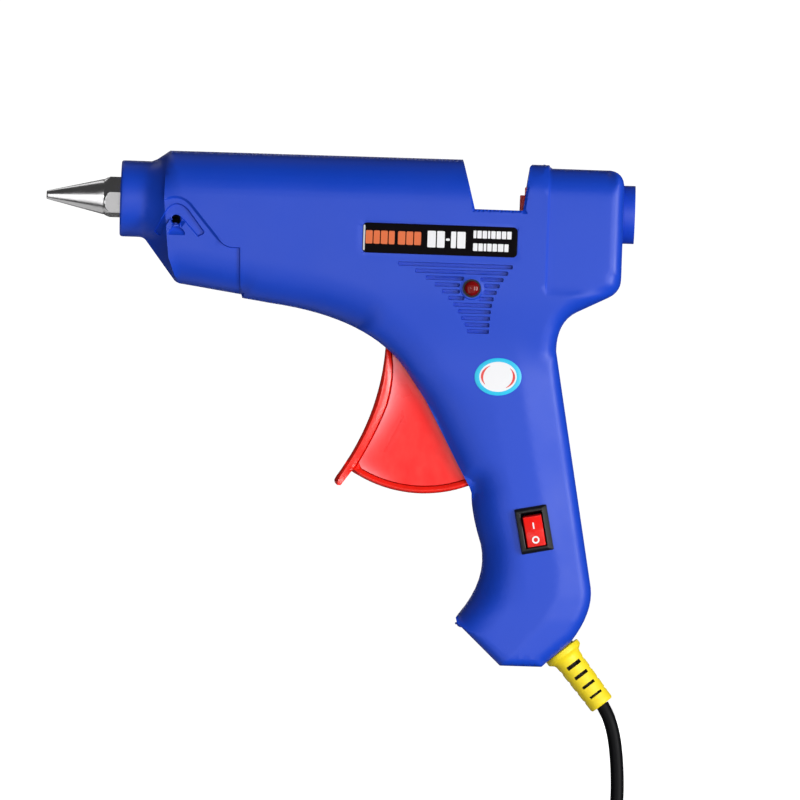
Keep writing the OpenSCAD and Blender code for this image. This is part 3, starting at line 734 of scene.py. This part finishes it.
def thinned(points, taken, gap):
    """The points that are at least a gap from each other and from the taken ones."""
    out = []
    for p in points:
        cell = (int(p[0] / gap), int(p[1] / gap))
        near = [q for i in (-1, 0, 1) for j in (-1, 0, 1) for q in taken.get((cell[0] + i, cell[1] + j), ())]
        if all(dist(p, q) >= gap for q in near):
            taken.setdefault(cell, []).append(p)
            out.append(p)
    return out


def casing_outline():
    """The casing's whole outline, from its runs."""
    points = []
    for line, _, _ in RUNS:
        for p in resampled(line, 1.3):
            if not points or dist(p, points[-1]) > 0.05:
                points.append(p)
    return points[:-1] if dist(points[0], points[-1]) < 0.05 else points


def outline_rings():
    """Points along each run at the depths where its rounding turns."""
    rings = []
    for line, reach, _ in RUNS:
        points = np.asarray(resampled(line, 1.3), float)
        inwards = -leftwards(points[1:] - points[:-1])
        steps = 9 if reach > 3 else 3
        for k in range(1, steps + 1):
            depth = reach * (1 - cos(pi / 2 * k / steps))
            rings.append(((points[:-1] + points[1:]) / 2 + inwards * depth, depth))
    return rings


def edges_of(chains):
    """The points of all chains, and the edges between them; each chain says whether it is a closed loop."""
    verts, edges = [], []
    for points, loop in chains:
        first = len(verts)
        verts += [Vector(p) for p in points]
        edges += [(first + i, first + i + 1) for i in range(len(points) - 1)]
        if loop:
            edges.append((len(verts) - 1, first))
    return verts, edges


def net_through(verts, edges, merge):
    """A triangle net that has all the given points and edges: its points, faces and faces' middles."""
    flat, _, faces, _, _, _ = delaunay_2d_cdt(verts, edges, [], 0, merge)
    flat = np.asarray([tuple(v) for v in flat])
    faces = np.asarray([tuple(f) for f in faces])
    return flat, faces, flat[faces].mean(1)


def casing_net(side):
    """The side view of half the casing as a fine triangle net: its points and faces."""
    outline = casing_outline()
    lines = [beside(line, by) for line, places in (
        (POD_LINE, (0.16, -0.16)), (POD_LINE[1:-3], (0.44, -0.44)), (REAR_LINE, (0.42, 0.14, -0.14, -0.42)),
        (CREASE_REAR, (0,)), (CREASE_FRONT, (0,)), (NECK_LINE, (0,))) for by in places]
    loops = [looped(CHEVRON, 0.9), inset(CHEVRON, RECESS_EDGE, 0.6), SCOOP, inset(SCOOP, RECESS_EDGE, 0.5)]
    loops += [circle(STAND_HOLE, r, 32) for r in (STAND_HOLE_R + 0.02, STAND_HOLE_R + 0.06, STAND_RIM_R)]
    holes = [circle(STAND_HOLE, STAND_HOLE_R, 32)]
    for groove in GROOVE_BOXES:
        loops += [groove, inset(groove, GROOVE_EDGE, 9.0)]
    if side == LEFT:
        label = rounded_box(*LABEL_BOX, 1.5)
        corners = ((-4.45, -6.95), (4.45, -6.95), (4.45, 6.95), (-4.45, 6.95))
        holes += [circle(LAMP_AT, 3.1, 32), [on_switch(x, z) for x, z in corners]]
        loops += [label, inset(label, 0.05, 9.0)] + [circle(LAMP_AT, r, 40) for r in LAMP_RING]
    else:
        loops += [circle(p, r, 32) for p in SCREWS for r in (SCREW_R - 0.02, SCREW_R + 0.06)]
    loops += holes
    chains = [(outline, True)] + [(line, False) for line in lines] + [(loop, True) for loop in loops]
    verts, edges = edges_of(chains)
    step = 1.9
    grid = np.asarray([(24 + step * (i + 0.5 * (k % 2)), -155 + 0.87 * step * k)
                       for k in range(106) for i in range(92)])
    fixed = [closed(points) if loop else np.asarray(points, float) for points, loop in chains[1:]]
    edge_line = closed(outline)
    taken = {}
    # Rings along the outline first, close together, then the loose grid wherever there is room
    for points, depth, gap in [(p, d, 0.13) for p, d in outline_rings()] + [(grid, None, 1.0)]:
        points = points[inside(points, outline)]
        from_edge = distance_to(points, edge_line)
        own_place = from_edge > 0.8 if depth is None else np.abs(from_edge - depth) < 0.05 * depth + 0.01
        points = points[own_place]
        for line in fixed:
            if len(points):
                low, high = line.min(0) - 1, line.max(0) + 1
                near = ((points > low) & (points < high)).all(1)
                near[near] = distance_to(points[near], line) < (0.5 if depth is None else 0.22)
                points = points[~near]
        verts += [Vector(p) for p in thinned(points, taken, gap)]
    flat, faces, middles = net_through(verts, edges, 1e-5)
    keep = inside(middles, outline)
    for hole in holes:
        keep &= ~inside(middles, hole)
    return flat, faces[keep], edge_line


def side_view(co):
    """A point of a mesh in the row frame, as tool millimetres of the side view."""
    return (co.x / MM + GRIP.x, co.z / MM + GRIP.z)


def rim_edges(bm, edge_line):
    """The net's open edges that lie on the casing's outline."""
    edges = [e for e in bm.edges if len(e.link_faces) == 1]
    spots = np.asarray([[side_view(v.co) for v in e.verts] for e in edges]).mean(1)
    near = distance_to(spots, edge_line) < 0.03
    return [e for e, n in zip(edges, near) if n]


def ways_inward(edges):
    """For each point of the outline, by its rounded place, the way into the casing."""
    inward = {}
    for e in edges:
        a, b = (Vector(side_view(v.co)) for v in e.verts)
        normal = Vector((a.y - b.y, b.x - a.x)).normalized()
        if normal.dot(Vector(side_view(e.link_faces[0].calc_center_median())) - a) < 0:
            normal = -normal
        for v in (a, b):
            key = (round(v.x, 3), round(v.y, 3))
            inward[key] = inward.get(key, Vector((0, 0))) + normal
    return inward


def open_edges(geom, verts):
    """The single-sided edges of an extrusion whose ends are both among the points."""
    return [g for g in geom if isinstance(g, bmesh.types.BMEdge) and all(v in verts for v in g.verts)
            and len(g.link_faces) == 1]


def add_edge_walls(bm, side, edge_line):
    """Walls from the outline in to the middle or an opening, and a small lip where the halves meet."""
    lip_in = 0.2
    # The left half's lip reaches past the middle, so that no light comes through the joint
    lip_y = 0.15 if side == LEFT else 0.02
    rim = rim_edges(bm, edge_line)
    inward = ways_inward(rim)
    walls = bmesh.ops.extrude_edge_only(bm, edges=rim)["geom"]
    new = [g for g in walls if isinstance(g, bmesh.types.BMVert)]
    to_middle = set()
    for v, end in zip(new, wall_end(np.asarray([side_view(v.co) for v in new]))):
        v.co.y = side * max(end, 0.22) * MM
        if end == 0:
            to_middle.add(v)
    lip = bmesh.ops.extrude_edge_only(bm, edges=open_edges(walls, to_middle))["geom"]
    for v in [g for g in lip if isinstance(g, bmesh.types.BMVert)]:
        x, z = side_view(v.co)
        way = inward.get((round(x, 3), round(z, 3)), Vector((0, 0)))
        way = way.normalized() * lip_in if way.length else way
        v.co = at(x + way.x, lip_y, z + way.y)


def skin(bm, verts, faces, side):
    """The faces of a net on one side, turned outwards."""
    return [bm.faces.new([verts[i] for i in (f if side == LEFT else f[::-1])]) for f in faces]


def drop_loose(bm):
    for v in [v for v in bm.verts if not v.link_faces]:
        bm.verts.remove(v)


def baked(obj):
    """Gives the object the mesh that its modifiers make, and takes them off."""
    mesh = bpy.data.meshes.new_from_object(obj.evaluated_get(bpy.context.evaluated_depsgraph_get()))
    mesh.name = obj.name
    obj.modifiers.clear()
    obj.data = mesh


def add_bevel(obj, width, angle):
    edge = obj.modifiers.new("edges", "BEVEL")
    edge.width = width * MM
    edge.segments = 3
    edge.limit_method = "ANGLE"
    edge.angle_limit = radians(angle)
    return edge


def shade(obj, sharp):
    """Smooth shading that keeps edges sharper than an angle."""
    obj.data.polygons.foreach_set("use_smooth", [True] * len(obj.data.polygons))
    obj.data.set_sharp_from_angle(angle=radians(sharp))


def add_casing_half(name, side, node):
    flat, faces, edge_line = casing_net(side)
    bm = bmesh.new()
    made = [bm.verts.new(at(x, side * h, z)) for (x, z), h in zip(flat, casing_height(flat, side))]
    skin(bm, made, faces, side)
    drop_loose(bm)
    bm.normal_update()
    add_edge_walls(bm, side, edge_line)
    bmesh.ops.recalc_face_normals(bm, faces=bm.faces)
    outwards = sum(f.normal.y * f.calc_area() for f in bm.faces)
    if outwards * side < 0:
        bmesh.ops.reverse_faces(bm, faces=bm.faces)
    half = new_object(name, mesh_of(name, bm))
    thick = half.modifiers.new("wall", "SOLIDIFY")
    thick.thickness = WALL * MM
    thick.offset = -1
    baked(half)
    shade(half, 32)
    half.data.materials.append(finish("casing_blue"))
    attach(half, "casing")
    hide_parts(node)


# ---- making pieces
def make_piece(name, bm, finishes, body, replaces=None, bevel=0.0, sharp=32):
    """Turns a bmesh drawn in tool millimetres into a piece of the model, with the named finishes."""
    for v in bm.verts:
        v.co = at(*v.co)
    bmesh.ops.recalc_face_normals(bm, faces=bm.faces)
    mesh = mesh_of(name, bm)
    for kind in finishes:
        mesh.materials.append(finish(kind))
    piece = new_object(name, mesh)
    if bevel:
        add_bevel(piece, bevel, 35)
        baked(piece)
    shade(piece, sharp)
    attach(piece, body)
    if replaces:
        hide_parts(replaces)


def prism(bm, outline, y0, y1, material=0):
    """A closed side-view outline given thickness from y0 to y1."""
    known = len(bm.faces)
    tower(bm, [[(x, y, z) for x, z in outline] for y in (y0, y1)])
    bm.faces.ensure_lookup_table()
    for f in bm.faces[known:]:
        f.material_index = material


def tower(bm, loops, caps=(True, True), closed_up=False):
    """Skins a list of loops that have the same number of points."""
    rows = [[bm.verts.new(p) for p in loop] for loop in loops]
    pairs = list(zip(rows, rows[1:])) + ([(rows[-1], rows[0])] if closed_up else [])
    for a, b in pairs:
        for i in range(len(a)):
            k = (i + 1) % len(a)
            bm.faces.new((a[i], a[k], b[k], b[i]))
    if caps[0]:
        bm.faces.new(rows[0][::-1])
    if caps[1]:
        bm.faces.new(rows[-1])
    return rows


def turned(bm, profile, place, steps=64, hollow=True, radius_at=None):
    """A profile of (along, radius) turned about an axis; place maps (along, across, up) to a point."""
    loops = []
    for along, r in profile:
        loop = []
        for i in range(steps):
            angle = 2 * pi * i / steps
            here = radius_at(along, r, angle) if radius_at else r
            loop.append(place(along, here * cos(angle), here * sin(angle)))
        loops.append(loop)
    tower(bm, loops, (not hollow, not hollow), hollow)


def along_x(along, across, up):
    return Vector((along, across, up))


def out_left(centre, y0):
    """Places a turned shape on the left side, its axis pointing out of the casing."""
    return lambda along, across, up: Vector((centre[0] + across, y0 - along, centre[1] + up))


def relief_frame(along, across, up):
    """Along the strain relief from its seat, with its slots facing the sides."""
    s, c = sin(RELIEF_TURN), cos(RELIEF_TURN)
    return Vector((RELIEF_AT[0] + along * s + up * c, across, RELIEF_AT[1] + along * c - up * s))


def switch_frame_at(across, out, up):
    """A point of the switch: across, out of the casing, and up along it."""
    x, z = on_switch(across, up)
    return Vector((x, -GRIP_HALF - out, z))


# ---- finishes
CARRIED_OVER = {
    "cast_aluminium": ["melt_chamber"],
    "ceramic": ["ptc_heater"],
    "film": ["heater_film"],
    "steel": ["heater_clip", "sleeve_clamp", "trigger_pin", "drive_pin", "stick_gripper", "gripper_pin",
              "clamp_screws", "case_screws"],
    "spring_steel": ["trigger_spring", "gripper_spring"],
    "silicone": ["guide_sleeve"],
    "black_plastic": ["front_bush", "cord_clamp", "led_bezel"],
    "inlet_blue": ["stick_inlet"],
    "carriage_red": ["feed_carriage"],
    "board_green": ["led_board"],
    "brass": ["switch_terminals"],
    "wire_brown": ["switch_leads"],
    "wire_blue": ["return_lead"],
    "wire_white": ["heater_leads", "crimp_connectors"],
    "cord_black": ["cord_tail"],
    "plug_black": ["plug_body"],
    "plug_metal": ["plug_pins"],
    "tie_black": ["cord_tie"],
}
# Width of the rounded edges, in millimetres
EDGES = {"stick_inlet": 0.5, "feed_carriage": 0.4, "plug_body": 0.5, "plug_pins": 0.5, "cord_tie": 0.4,
         "case_screws": 0.25, "led_bezel": 0.2}


def finish_cad_nodes():
    """Gives the CAD's own pieces their finishes, and rounded edges where those can be seen."""
    for name, nodes in CARRIED_OVER.items():
        for node in nodes:
            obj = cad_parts[node]
            obj.data.materials.clear()
            obj.data.materials.append(finish(name))
            if node in EDGES:
                add_bevel(obj, EDGES[node], 40).harden_normals = True


# ---- nozzle
def add_nozzle():
    """Turned cone that runs into a hexagon, whose corners its chamfer cuts in scallops."""
    cone_x0, cone_length = 0.6, 18.4
    tip_r, cone_r = 1.58, 6.0
    hex_x0, hex_x1 = 19.6, 27.9
    hex_flat, hex_r = 6.25, 6.05

    def radius(x, r, angle):
        if x < hex_x0 - 0.01 or x > hex_x1 + 0.01 or r < 5:
            return r
        turn = (angle + radians(12)) % radians(60) - radians(30)
        chamfer = min(hex_r + (x - hex_x0) * 0.62, 8 + (hex_x1 - x) * 4)
        return min(hex_flat / cos(turn), chamfer)

    profile = [(0.25, 0.9), (0.0, 0.95), (0.0, 1.25), (0.1, 1.4), (0.35, 1.52)]
    profile += [(cone_x0 + cone_length * i / 12, tip_r + (cone_r - tip_r) * i / 12) for i in range(13)]
    profile += [(19.3, hex_r)] + [(hex_x0 + 3.6 * i / 14, hex_r) for i in range(15)]
    profile += [(hex_x1 - 0.35, hex_r), (hex_x1, hex_r)]
    profile += [(hex_x1, 4.0), (37.4, 4.0), (38, 3.5), (38, 2), (8, 2), (7.6, 0.9)]
    bm = bmesh.new()
    turned(bm, profile, along_x, 180, True, radius)
    make_piece("nozzle", bm, ["nozzle_metal"], "casing", "nozzle", sharp=14)


# ---- label and sticker
LABEL_TOP = -BODY_HALF + 0.1
LABEL_FINISHES = ["print_orange", "mark_white", "label_edge"]


def print_bars(bm, x, middle, half, widths, gap, corner, colour):
    """A row of upright bars, some with their own half height, that stand in for printed letters."""
    for width in widths:
        width, tall = width if isinstance(width, tuple) else (width, half)
        bar = rounded_box(x, middle - tall, x + width, middle + tall, *corner)
        prism(bm, bar, LABEL_TOP - 0.012, LABEL_TOP + 0.02, LABEL_FINISHES.index(colour))
        x += width + gap


def add_label():
    """The black plate and its print: two orange words, a white one and two small white lines."""
    bm = bmesh.new()
    prism(bm, rounded_box(*LABEL_PLATE, 1.4, 6), LABEL_TOP, -BODY_HALF + LABEL_SINK)
    make_piece("rating_label", bm, ["label_black"], "casing", "rating_label", bevel=0.05)
    bm = bmesh.new()
    print_bars(bm, 109.0, -10.75, 2.25, (2.3, 2.1, 2.3, 2.0), 0.36, (0.35, 3), "print_orange")
    print_bars(bm, 119.89, -10.75, 2.25, (2.5, 2.3, 2.3), 0.36, (0.35, 3), "print_orange")
    print_bars(bm, 129.9, -10.8, 2.8, (2.8, 2.6, (1.3, 0.4), 1.7, 2.8), 0.42, (0.3, 3), "mark_white")
    print_bars(bm, 145.4, -8.7, 1.3, (1.0, 1.5, 1.5, 0.8, 1.5, 1.5, 1.5, 1.5), 0.3, (0.2, 2), "mark_white")
    print_bars(bm, 145.4, -13.0, 1.3, (1.5, 1.5, 0.9, 1.5, 1.5, 1.9, 1.4), 0.3, (0.2, 2), "mark_white")
    print_bars(bm, 108.15, -11.0, 4.3, (0.6,), 0, (0.25, 3), "label_edge")
    make_piece("label_print", bm, LABEL_FINISHES, "casing")


def add_sticker():
    """Oval film: cyan rim, white middle and two red sweeps."""
    centre = (155.4, -56.6)
    half_w, half_h = 7.95, 6.35
    roll = radians(3)
    sweep_at, sweep_steps = 0.68, 24

    def place(u, v, y):
        """A point of the sticker, as shares of its half width and half height."""
        u, v = u * half_w, v * half_h
        x, z = u * cos(roll) - v * sin(roll), u * sin(roll) + v * cos(roll)
        return Vector((centre[0] + x, y, centre[1] + z))

    def ellipse(scale, y):
        return [place(u, v, y) for u, v in circle((0, 0), scale, 96)]

    top = -GRIP_HALF - 0.12
    bm = bmesh.new()
    edges = ((1.0, -GRIP_HALF + 0.05), (1.0, top + 0.03), (0.992, top), (0.8, top))
    rows = tower(bm, [ellipse(scale, y) for scale, y in edges], (True, False))
    bm.faces.new(rows[-1]).material_index = 1
    for start, stop in ((118, 215), (-62, 40)):
        inner, outer = [], []
        for i in range(sweep_steps + 1):
            a = radians(start + (stop - start) * i / sweep_steps)
            thick = 0.045 * sin(pi * i / sweep_steps) + 0.008
            for edge, r in ((inner, sweep_at - thick), (outer, sweep_at + thick)):
                edge.append(bm.verts.new(place(r * cos(a), r * sin(a), top - 0.02)))
        for i in range(sweep_steps):
            bm.faces.new((inner[i], inner[i + 1], outer[i + 1], outer[i])).material_index = 2
    make_piece("oval_sticker", bm, ["sticker_cyan", "mark_white", "sticker_red"], "casing",
               "oval_sticker")


# ---- lamp
def add_lamp():
    angles = [radians(7.5 * i) for i in range(12)]
    dome = [(-7.9, 2.5)] + [(0.35 + 1.25 * sin(a), 2.5 * cos(a)) for a in angles]
    bm = bmesh.new()
    turned(bm, dome, out_left(LAMP_AT, -BODY_HALF), 48, hollow=False)
    make_piece("lamp_lens", bm, ["lamp_red"], "casing", "led_lens", sharp=50)


# ---- switch
def add_switch():
    """The frame, whose rim is wider on the right, round an open box that holds the rocker."""
    # Half width, half length, corner, how far out and how far across, from the flange round to it again
    section = [(5.5, 7.75, 0.4, -0.05, 0), (5.5, 7.75, 0.4, 0.5, 0), (5.4, 7.65, 0.4, 0.6, 0),
               (4.5, 6.9, 0.4, 1.5, -0.75), (4.38, 6.75, 0.4, 1.58, -0.72), (3.85, 6.15, 0.35, 1.58, -0.2),
               (3.7, 6.0, 0.3, 1.45, -0.1), (3.45, 5.75, 0.3, 0.4, 0), (3.45, 5.75, 0.3, -11.9, 0),
               (4.35, 6.85, 0.3, -11.9, 0), (4.35, 6.85, 0.3, -0.05, 0)]
    loops = []
    for half_w, half_l, r, out, shift in section:
        box = rounded_box(-half_w, -half_l, half_w, half_l, r)
        loops.append([switch_frame_at(u + shift, out, v) for u, v in box])
    bm = bmesh.new()
    tower(bm, loops, (False, False), True)
    make_piece("switch_frame", bm, ["black_plastic"], "casing", "switch_frame", sharp=25)


def add_rocker():
    """Rocker with two hollowed faces; its marks stand a little proud of them."""
    tilt = radians(8)
    turn_y = -1.6
    half_l, half_w = 5.2, 3.15

    def on_rocker(x, out, along):
        """Across, out from its pin, and along the rocker, turned by its tilt."""
        p, q = -out, along
        p, q = p * cos(tilt) - q * sin(tilt), p * sin(tilt) + q * cos(tilt)
        return switch_frame_at(x, turn_y - p, q)

    def face_out(q):
        return 3.3 + 1.3 * (abs(q) / half_l) ** 1.3

    def on_face(loop, lift):
        return [on_rocker(x, face_out(q) + lift, q) for x, q in loop]

    hollow = [(face_out(q), q) for q in (half_l * (i / 12 - 1) for i in range(25))]
    side = [(-2.5, -3.0), (0.5, -half_l)] + hollow + [(0.5, half_l), (-2.5, 3.0)]
    bm = bmesh.new()
    tower(bm, [[on_rocker(x, out, q) for out, q in side] for x in (-half_w, half_w)])
    make_piece("switch_rocker", bm, ["rocker_red"], "rocker", "switch_rocker", bevel=0.35,
               sharp=40)
    sunk, proud = -0.05, 0.03
    bm = bmesh.new()
    bar = [(-0.24, 0.75), (0.24, 0.75), (0.24, 3.0), (-0.24, 3.0)]
    tower(bm, [on_face(bar, lift) for lift in (sunk, proud)])
    rings = [(1.25, sunk), (1.25, proud), (0.72, proud), (0.72, sunk)]
    tower(bm, [on_face(circle((0, -3.0), r, 32), lift) for r, lift in rings], (False, False), True)
    make_piece("rocker_marks", bm, ["mark_white"], "rocker", sharp=40)


# ---- trigger
PIVOT = (130.4, -52.8)
SWEEP_R = 44.3
TRIGGER_HALF = 8.5
SWEEP_RIM = 41.6
TRIGGER_FRONT = bend((117.0, -44), (117.0, -69.8), (101.8, -92), 24)
RIM_INNER = bend((117.6, -44), (121.6, -54.5), (118.6, -66.6), 12)[:-1] + \
    bend((118.6, -66.6), (115.6, -76.6), (106.4, -92.4), 12)
TRIGGER_TIP = [(101.1, -93.4), (101.3, -94.4), (102.2, -95.2), (103.4, -95.2), (106.7, -90.6)]
TRIGGER_BACK = [(147, -84), (139, -66), (136, -52.8), (131, -46), (124, -43.4)]
CREASE_TRIGGER = [(123.6, -71.0), (117.6, -82.9)]


def sweep(r, first=-122, last=-61):
    """An arc of the trigger's lower edge, about its pivot."""
    angles = [radians(a) for a in range(first, last, 3)]
    return [(PIVOT[0] + r * cos(a), PIVOT[1] + r * sin(a)) for a in angles]


def rim_share(points):
    """How far across the front rim each point is, from 0 on its front edge to 1 at the web."""
    front = distance_to(points, TRIGGER_FRONT)
    inner = distance_to(points, RIM_INNER)
    band = closed(TRIGGER_FRONT + TRIGGER_TIP[:4] + RIM_INNER[::-1])
    share = front / np.maximum(front + inner, 1e-6)
    return np.where(inside(points, band) | (front < 0.02), share, np.where(inner < 0.02, 1.0, 2.0))


def trigger_height(points):
    """Half width of the trigger: a ridged rim in front, a round one below, and a thinner web."""
    x, z = points[:, 0], points[:, 1]
    share = rim_share(points)
    under = np.clip((SWEEP_R - away_from(PIVOT, x, z)) / (SWEEP_R - SWEEP_RIM), 0, 2)
    along = distance_to(points, CREASE_TRIGGER)
    gate = distance_to(points, GATE_LINE)
    web = 6.3 + 0.4 * ease(x, 108, 134) + 1.3 * np.exp(-gate / 2.2) - 0.1 * (1 - ease(along, 0.0, 0.3))
    # Ridge of the rim at a third of its width, then a long slope down to a crevice along the web
    knots = [0, 0.03, 0.1, 0.22, 0.3, 0.45, 0.85, 0.92, 0.96]
    front = np.interp(share, knots, [5.6, 6.7, 7.6, 8.3, TRIGGER_HALF, 8.3, 7.5, 5.9, 5.3])
    sweep_rim = np.interp(under, knots, [5.6, 6.6, 7.5, 8.15, 8.3, 8.3, 7.5, 5.9, 5.3])
    lower = (under < 0.99) & (z < -60)
    height = np.where(lower, sweep_rim, web)
    return np.where(share < 0.99, np.maximum(front, np.where(lower, sweep_rim, 0)), height)


def trigger_paleness(points):
    """How pale pink the web is painted: most along the front rim, then by the casing, where it is a painted
    highlight, and over the lower rim.
    """
    x, z = points[:, 0], points[:, 1]
    rim = distance_to(points, RIM_INNER)
    gate = distance_to(points, GATE_LINE)
    over_rim = np.maximum(SWEEP_RIM - away_from(PIVOT, x, z), 0)
    by_front = 0.8 * np.exp(-rim / 2.6) * ease(-z, 44, 52) * (1 - 0.75 * ease(-z, 66, 88))
    by_lower_rim = 0.6 * np.exp(-over_rim / 1.6) * (1 - ease(x, 112, 124))
    # The paleness by the casing is a painted highlight
    return np.clip(by_front + 0.3 * np.exp(-gate) + by_lower_rim, 0, 1)


def trigger_net():
    """The trigger's side view as a triangle net along its rims: its points, faces and their middles."""
    outline = TRIGGER_FRONT + TRIGGER_TIP + sweep(SWEEP_R) + TRIGGER_BACK + [TRIGGER_FRONT[0]]
    outline = resampled(outline, 1.0)[:-1]
    knots = (0.03, 0.1, 0.22, 0.3, 0.45, 0.65, 0.85, 0.92, 0.96, 1.0)
    across = list(zip(TRIGGER_FRONT, RIM_INNER))
    lines = [[tuple(a + (b - a) * t for a, b in zip(p, q)) for p, q in across] for t in knots]
    lines += [sweep(SWEEP_R + (SWEEP_RIM - SWEEP_R) * t, -119, -66) for t in knots]
    lines += [beside(CREASE_TRIGGER, by) for by in (-0.3, 0, 0.3)]
    verts, edges = edges_of([(outline, True)] + [(line, False) for line in lines])
    grid = np.asarray([(100 + 1.6 * (i + 0.5 * (k % 2)), -98 + 1.4 * k)
                       for k in range(40) for i in range(34)])
    near = np.min([distance_to(grid, line) for line in lines + [closed(outline)]], axis=0)
    verts += [Vector(p) for p in grid[inside(grid, outline) & (near > 0.7)]]
    flat, faces, middles = net_through(verts, edges, 1e-4)
    keep = inside(middles, outline)
    return flat, faces[keep], middles[keep]


def add_trigger():
    flat, faces, middles = trigger_net()
    height, pale = trigger_height(flat), trigger_paleness(flat)
    reach = away_from(PIVOT, middles[:, 0], middles[:, 1])
    on_rim = (rim_share(middles) <= 1) | ((reach > SWEEP_RIM) & (middles[:, 1] < -60))
    bm = bmesh.new()
    paleness_layer = bm.verts.layers.float.new("pale")
    sides = []
    for side in (LEFT, RIGHT):
        made = [bm.verts.new((x, side * h, z)) for (x, z), h in zip(flat, height)]
        for v, p in zip(made, pale):
            v[paleness_layer] = float(p)
        for face, rim in zip(skin(bm, made, faces, side), on_rim):
            face.material_index = 0 if rim else 1
        sides.append(made)
    twin = dict(zip(*sides))
    for e in [e for e in bm.edges if len(e.link_faces) == 1 and all(v in twin for v in e.verts)]:
        a, b = e.verts
        bm.faces.new((a, b, twin[b], twin[a]))
    drop_loose(bm)
    make_piece("trigger", bm, ["trigger_rim", "trigger_web"], "trigger", "trigger", sharp=38)


# ---- strain relief
def along_of(p):
    """How far along the strain relief a point is."""
    return (p[0] - RELIEF_AT[0]) * sin(RELIEF_TURN) + (p[2] - RELIEF_AT[1]) * cos(RELIEF_TURN)


def add_strain_relief():
    """Rubber sleeve with a flange; its slots are deep and painted dark at the sides, and shallow above and
    below.
    """
    lead_r = 2.35
    floor_r = 2.6
    slots_x0, slots_x1 = 3.9, 21.4
    # Each slot: where it is, its width, and half the angle that it opens
    slots = [(6.55 + 4.15 * i, 1.25 - 0.17 * i, 34 - i) for i in range(4)]
    wall = 0.07
    flange = [(-3.0, 5.0), (0.12, 5.0), (0.12, 6.3), (0.4, 6.6), (1.7, 6.65), (2.2, 6.45), (2.7, 5.8),
              (3.2, 5.2), (slots_x0, 4.9)]
    end = [(slots_x1, 4.35), (22.3, 4.4), (22.9, 4.25), (23.25, 3.95), (RELIEF_L, 3.4), (RELIEF_L, 2.5)]
    cuts = sorted(round(u + s, 3) for u, w, _ in slots for s in (-w / 2 - wall, -w / 2, w / 2, w / 2 + wall))
    middle = [(u, 4.82 - (u - 4) * 0.48 / 17.5) for u in cuts]
    profile = flange + middle + end + [(RELIEF_L - 0.3, lead_r), (-3.0, lead_r)]

    def radius(along, r, angle):
        if r < 3 or not slots_x0 < along < slots_x1:
            return r
        for u, w, half in slots:
            if abs(along - u) <= w / 2 + 0.001:
                turn = degrees(angle) + copysign(SLOT_TURN, cos(angle))
                off = abs((turn + 90) % 180 - 90)
                if off < half:
                    return floor_r
                if off > 60:
                    return r - 0.2
        return r

    bm = bmesh.new()
    turned(bm, profile, relief_frame, 180, True, radius)
    # The deep slots' floors and walls get the dark finish: on the floors it stands for the black lead inside,
    # with painted shade, and on the walls it is painted shade.
    for f in bm.faces:
        off = [(v.co - relief_frame(along_of(v.co), 0, 0)).length for v in f.verts]
        on_slot = slots_x0 < along_of(f.calc_center_median()) < slots_x1
        if on_slot and min(off) < 2.7 and max(off) > 2.5:
            f.material_index = 1
    finishes = ["relief_yellow", "relief_gap"]
    make_piece("strain_relief", bm, finishes, "casing", "strain_relief", sharp=28)


# ---- the whole tool
add_casing_half("casing_left", LEFT, "left_shell")
add_casing_half("casing_right", RIGHT, "right_shell")
add_nozzle()
add_label()
add_sticker()
add_lamp()
add_switch()
add_rocker()
add_trigger()
add_strain_relief()
finish_cad_nodes()
add_floor()
add_lights()
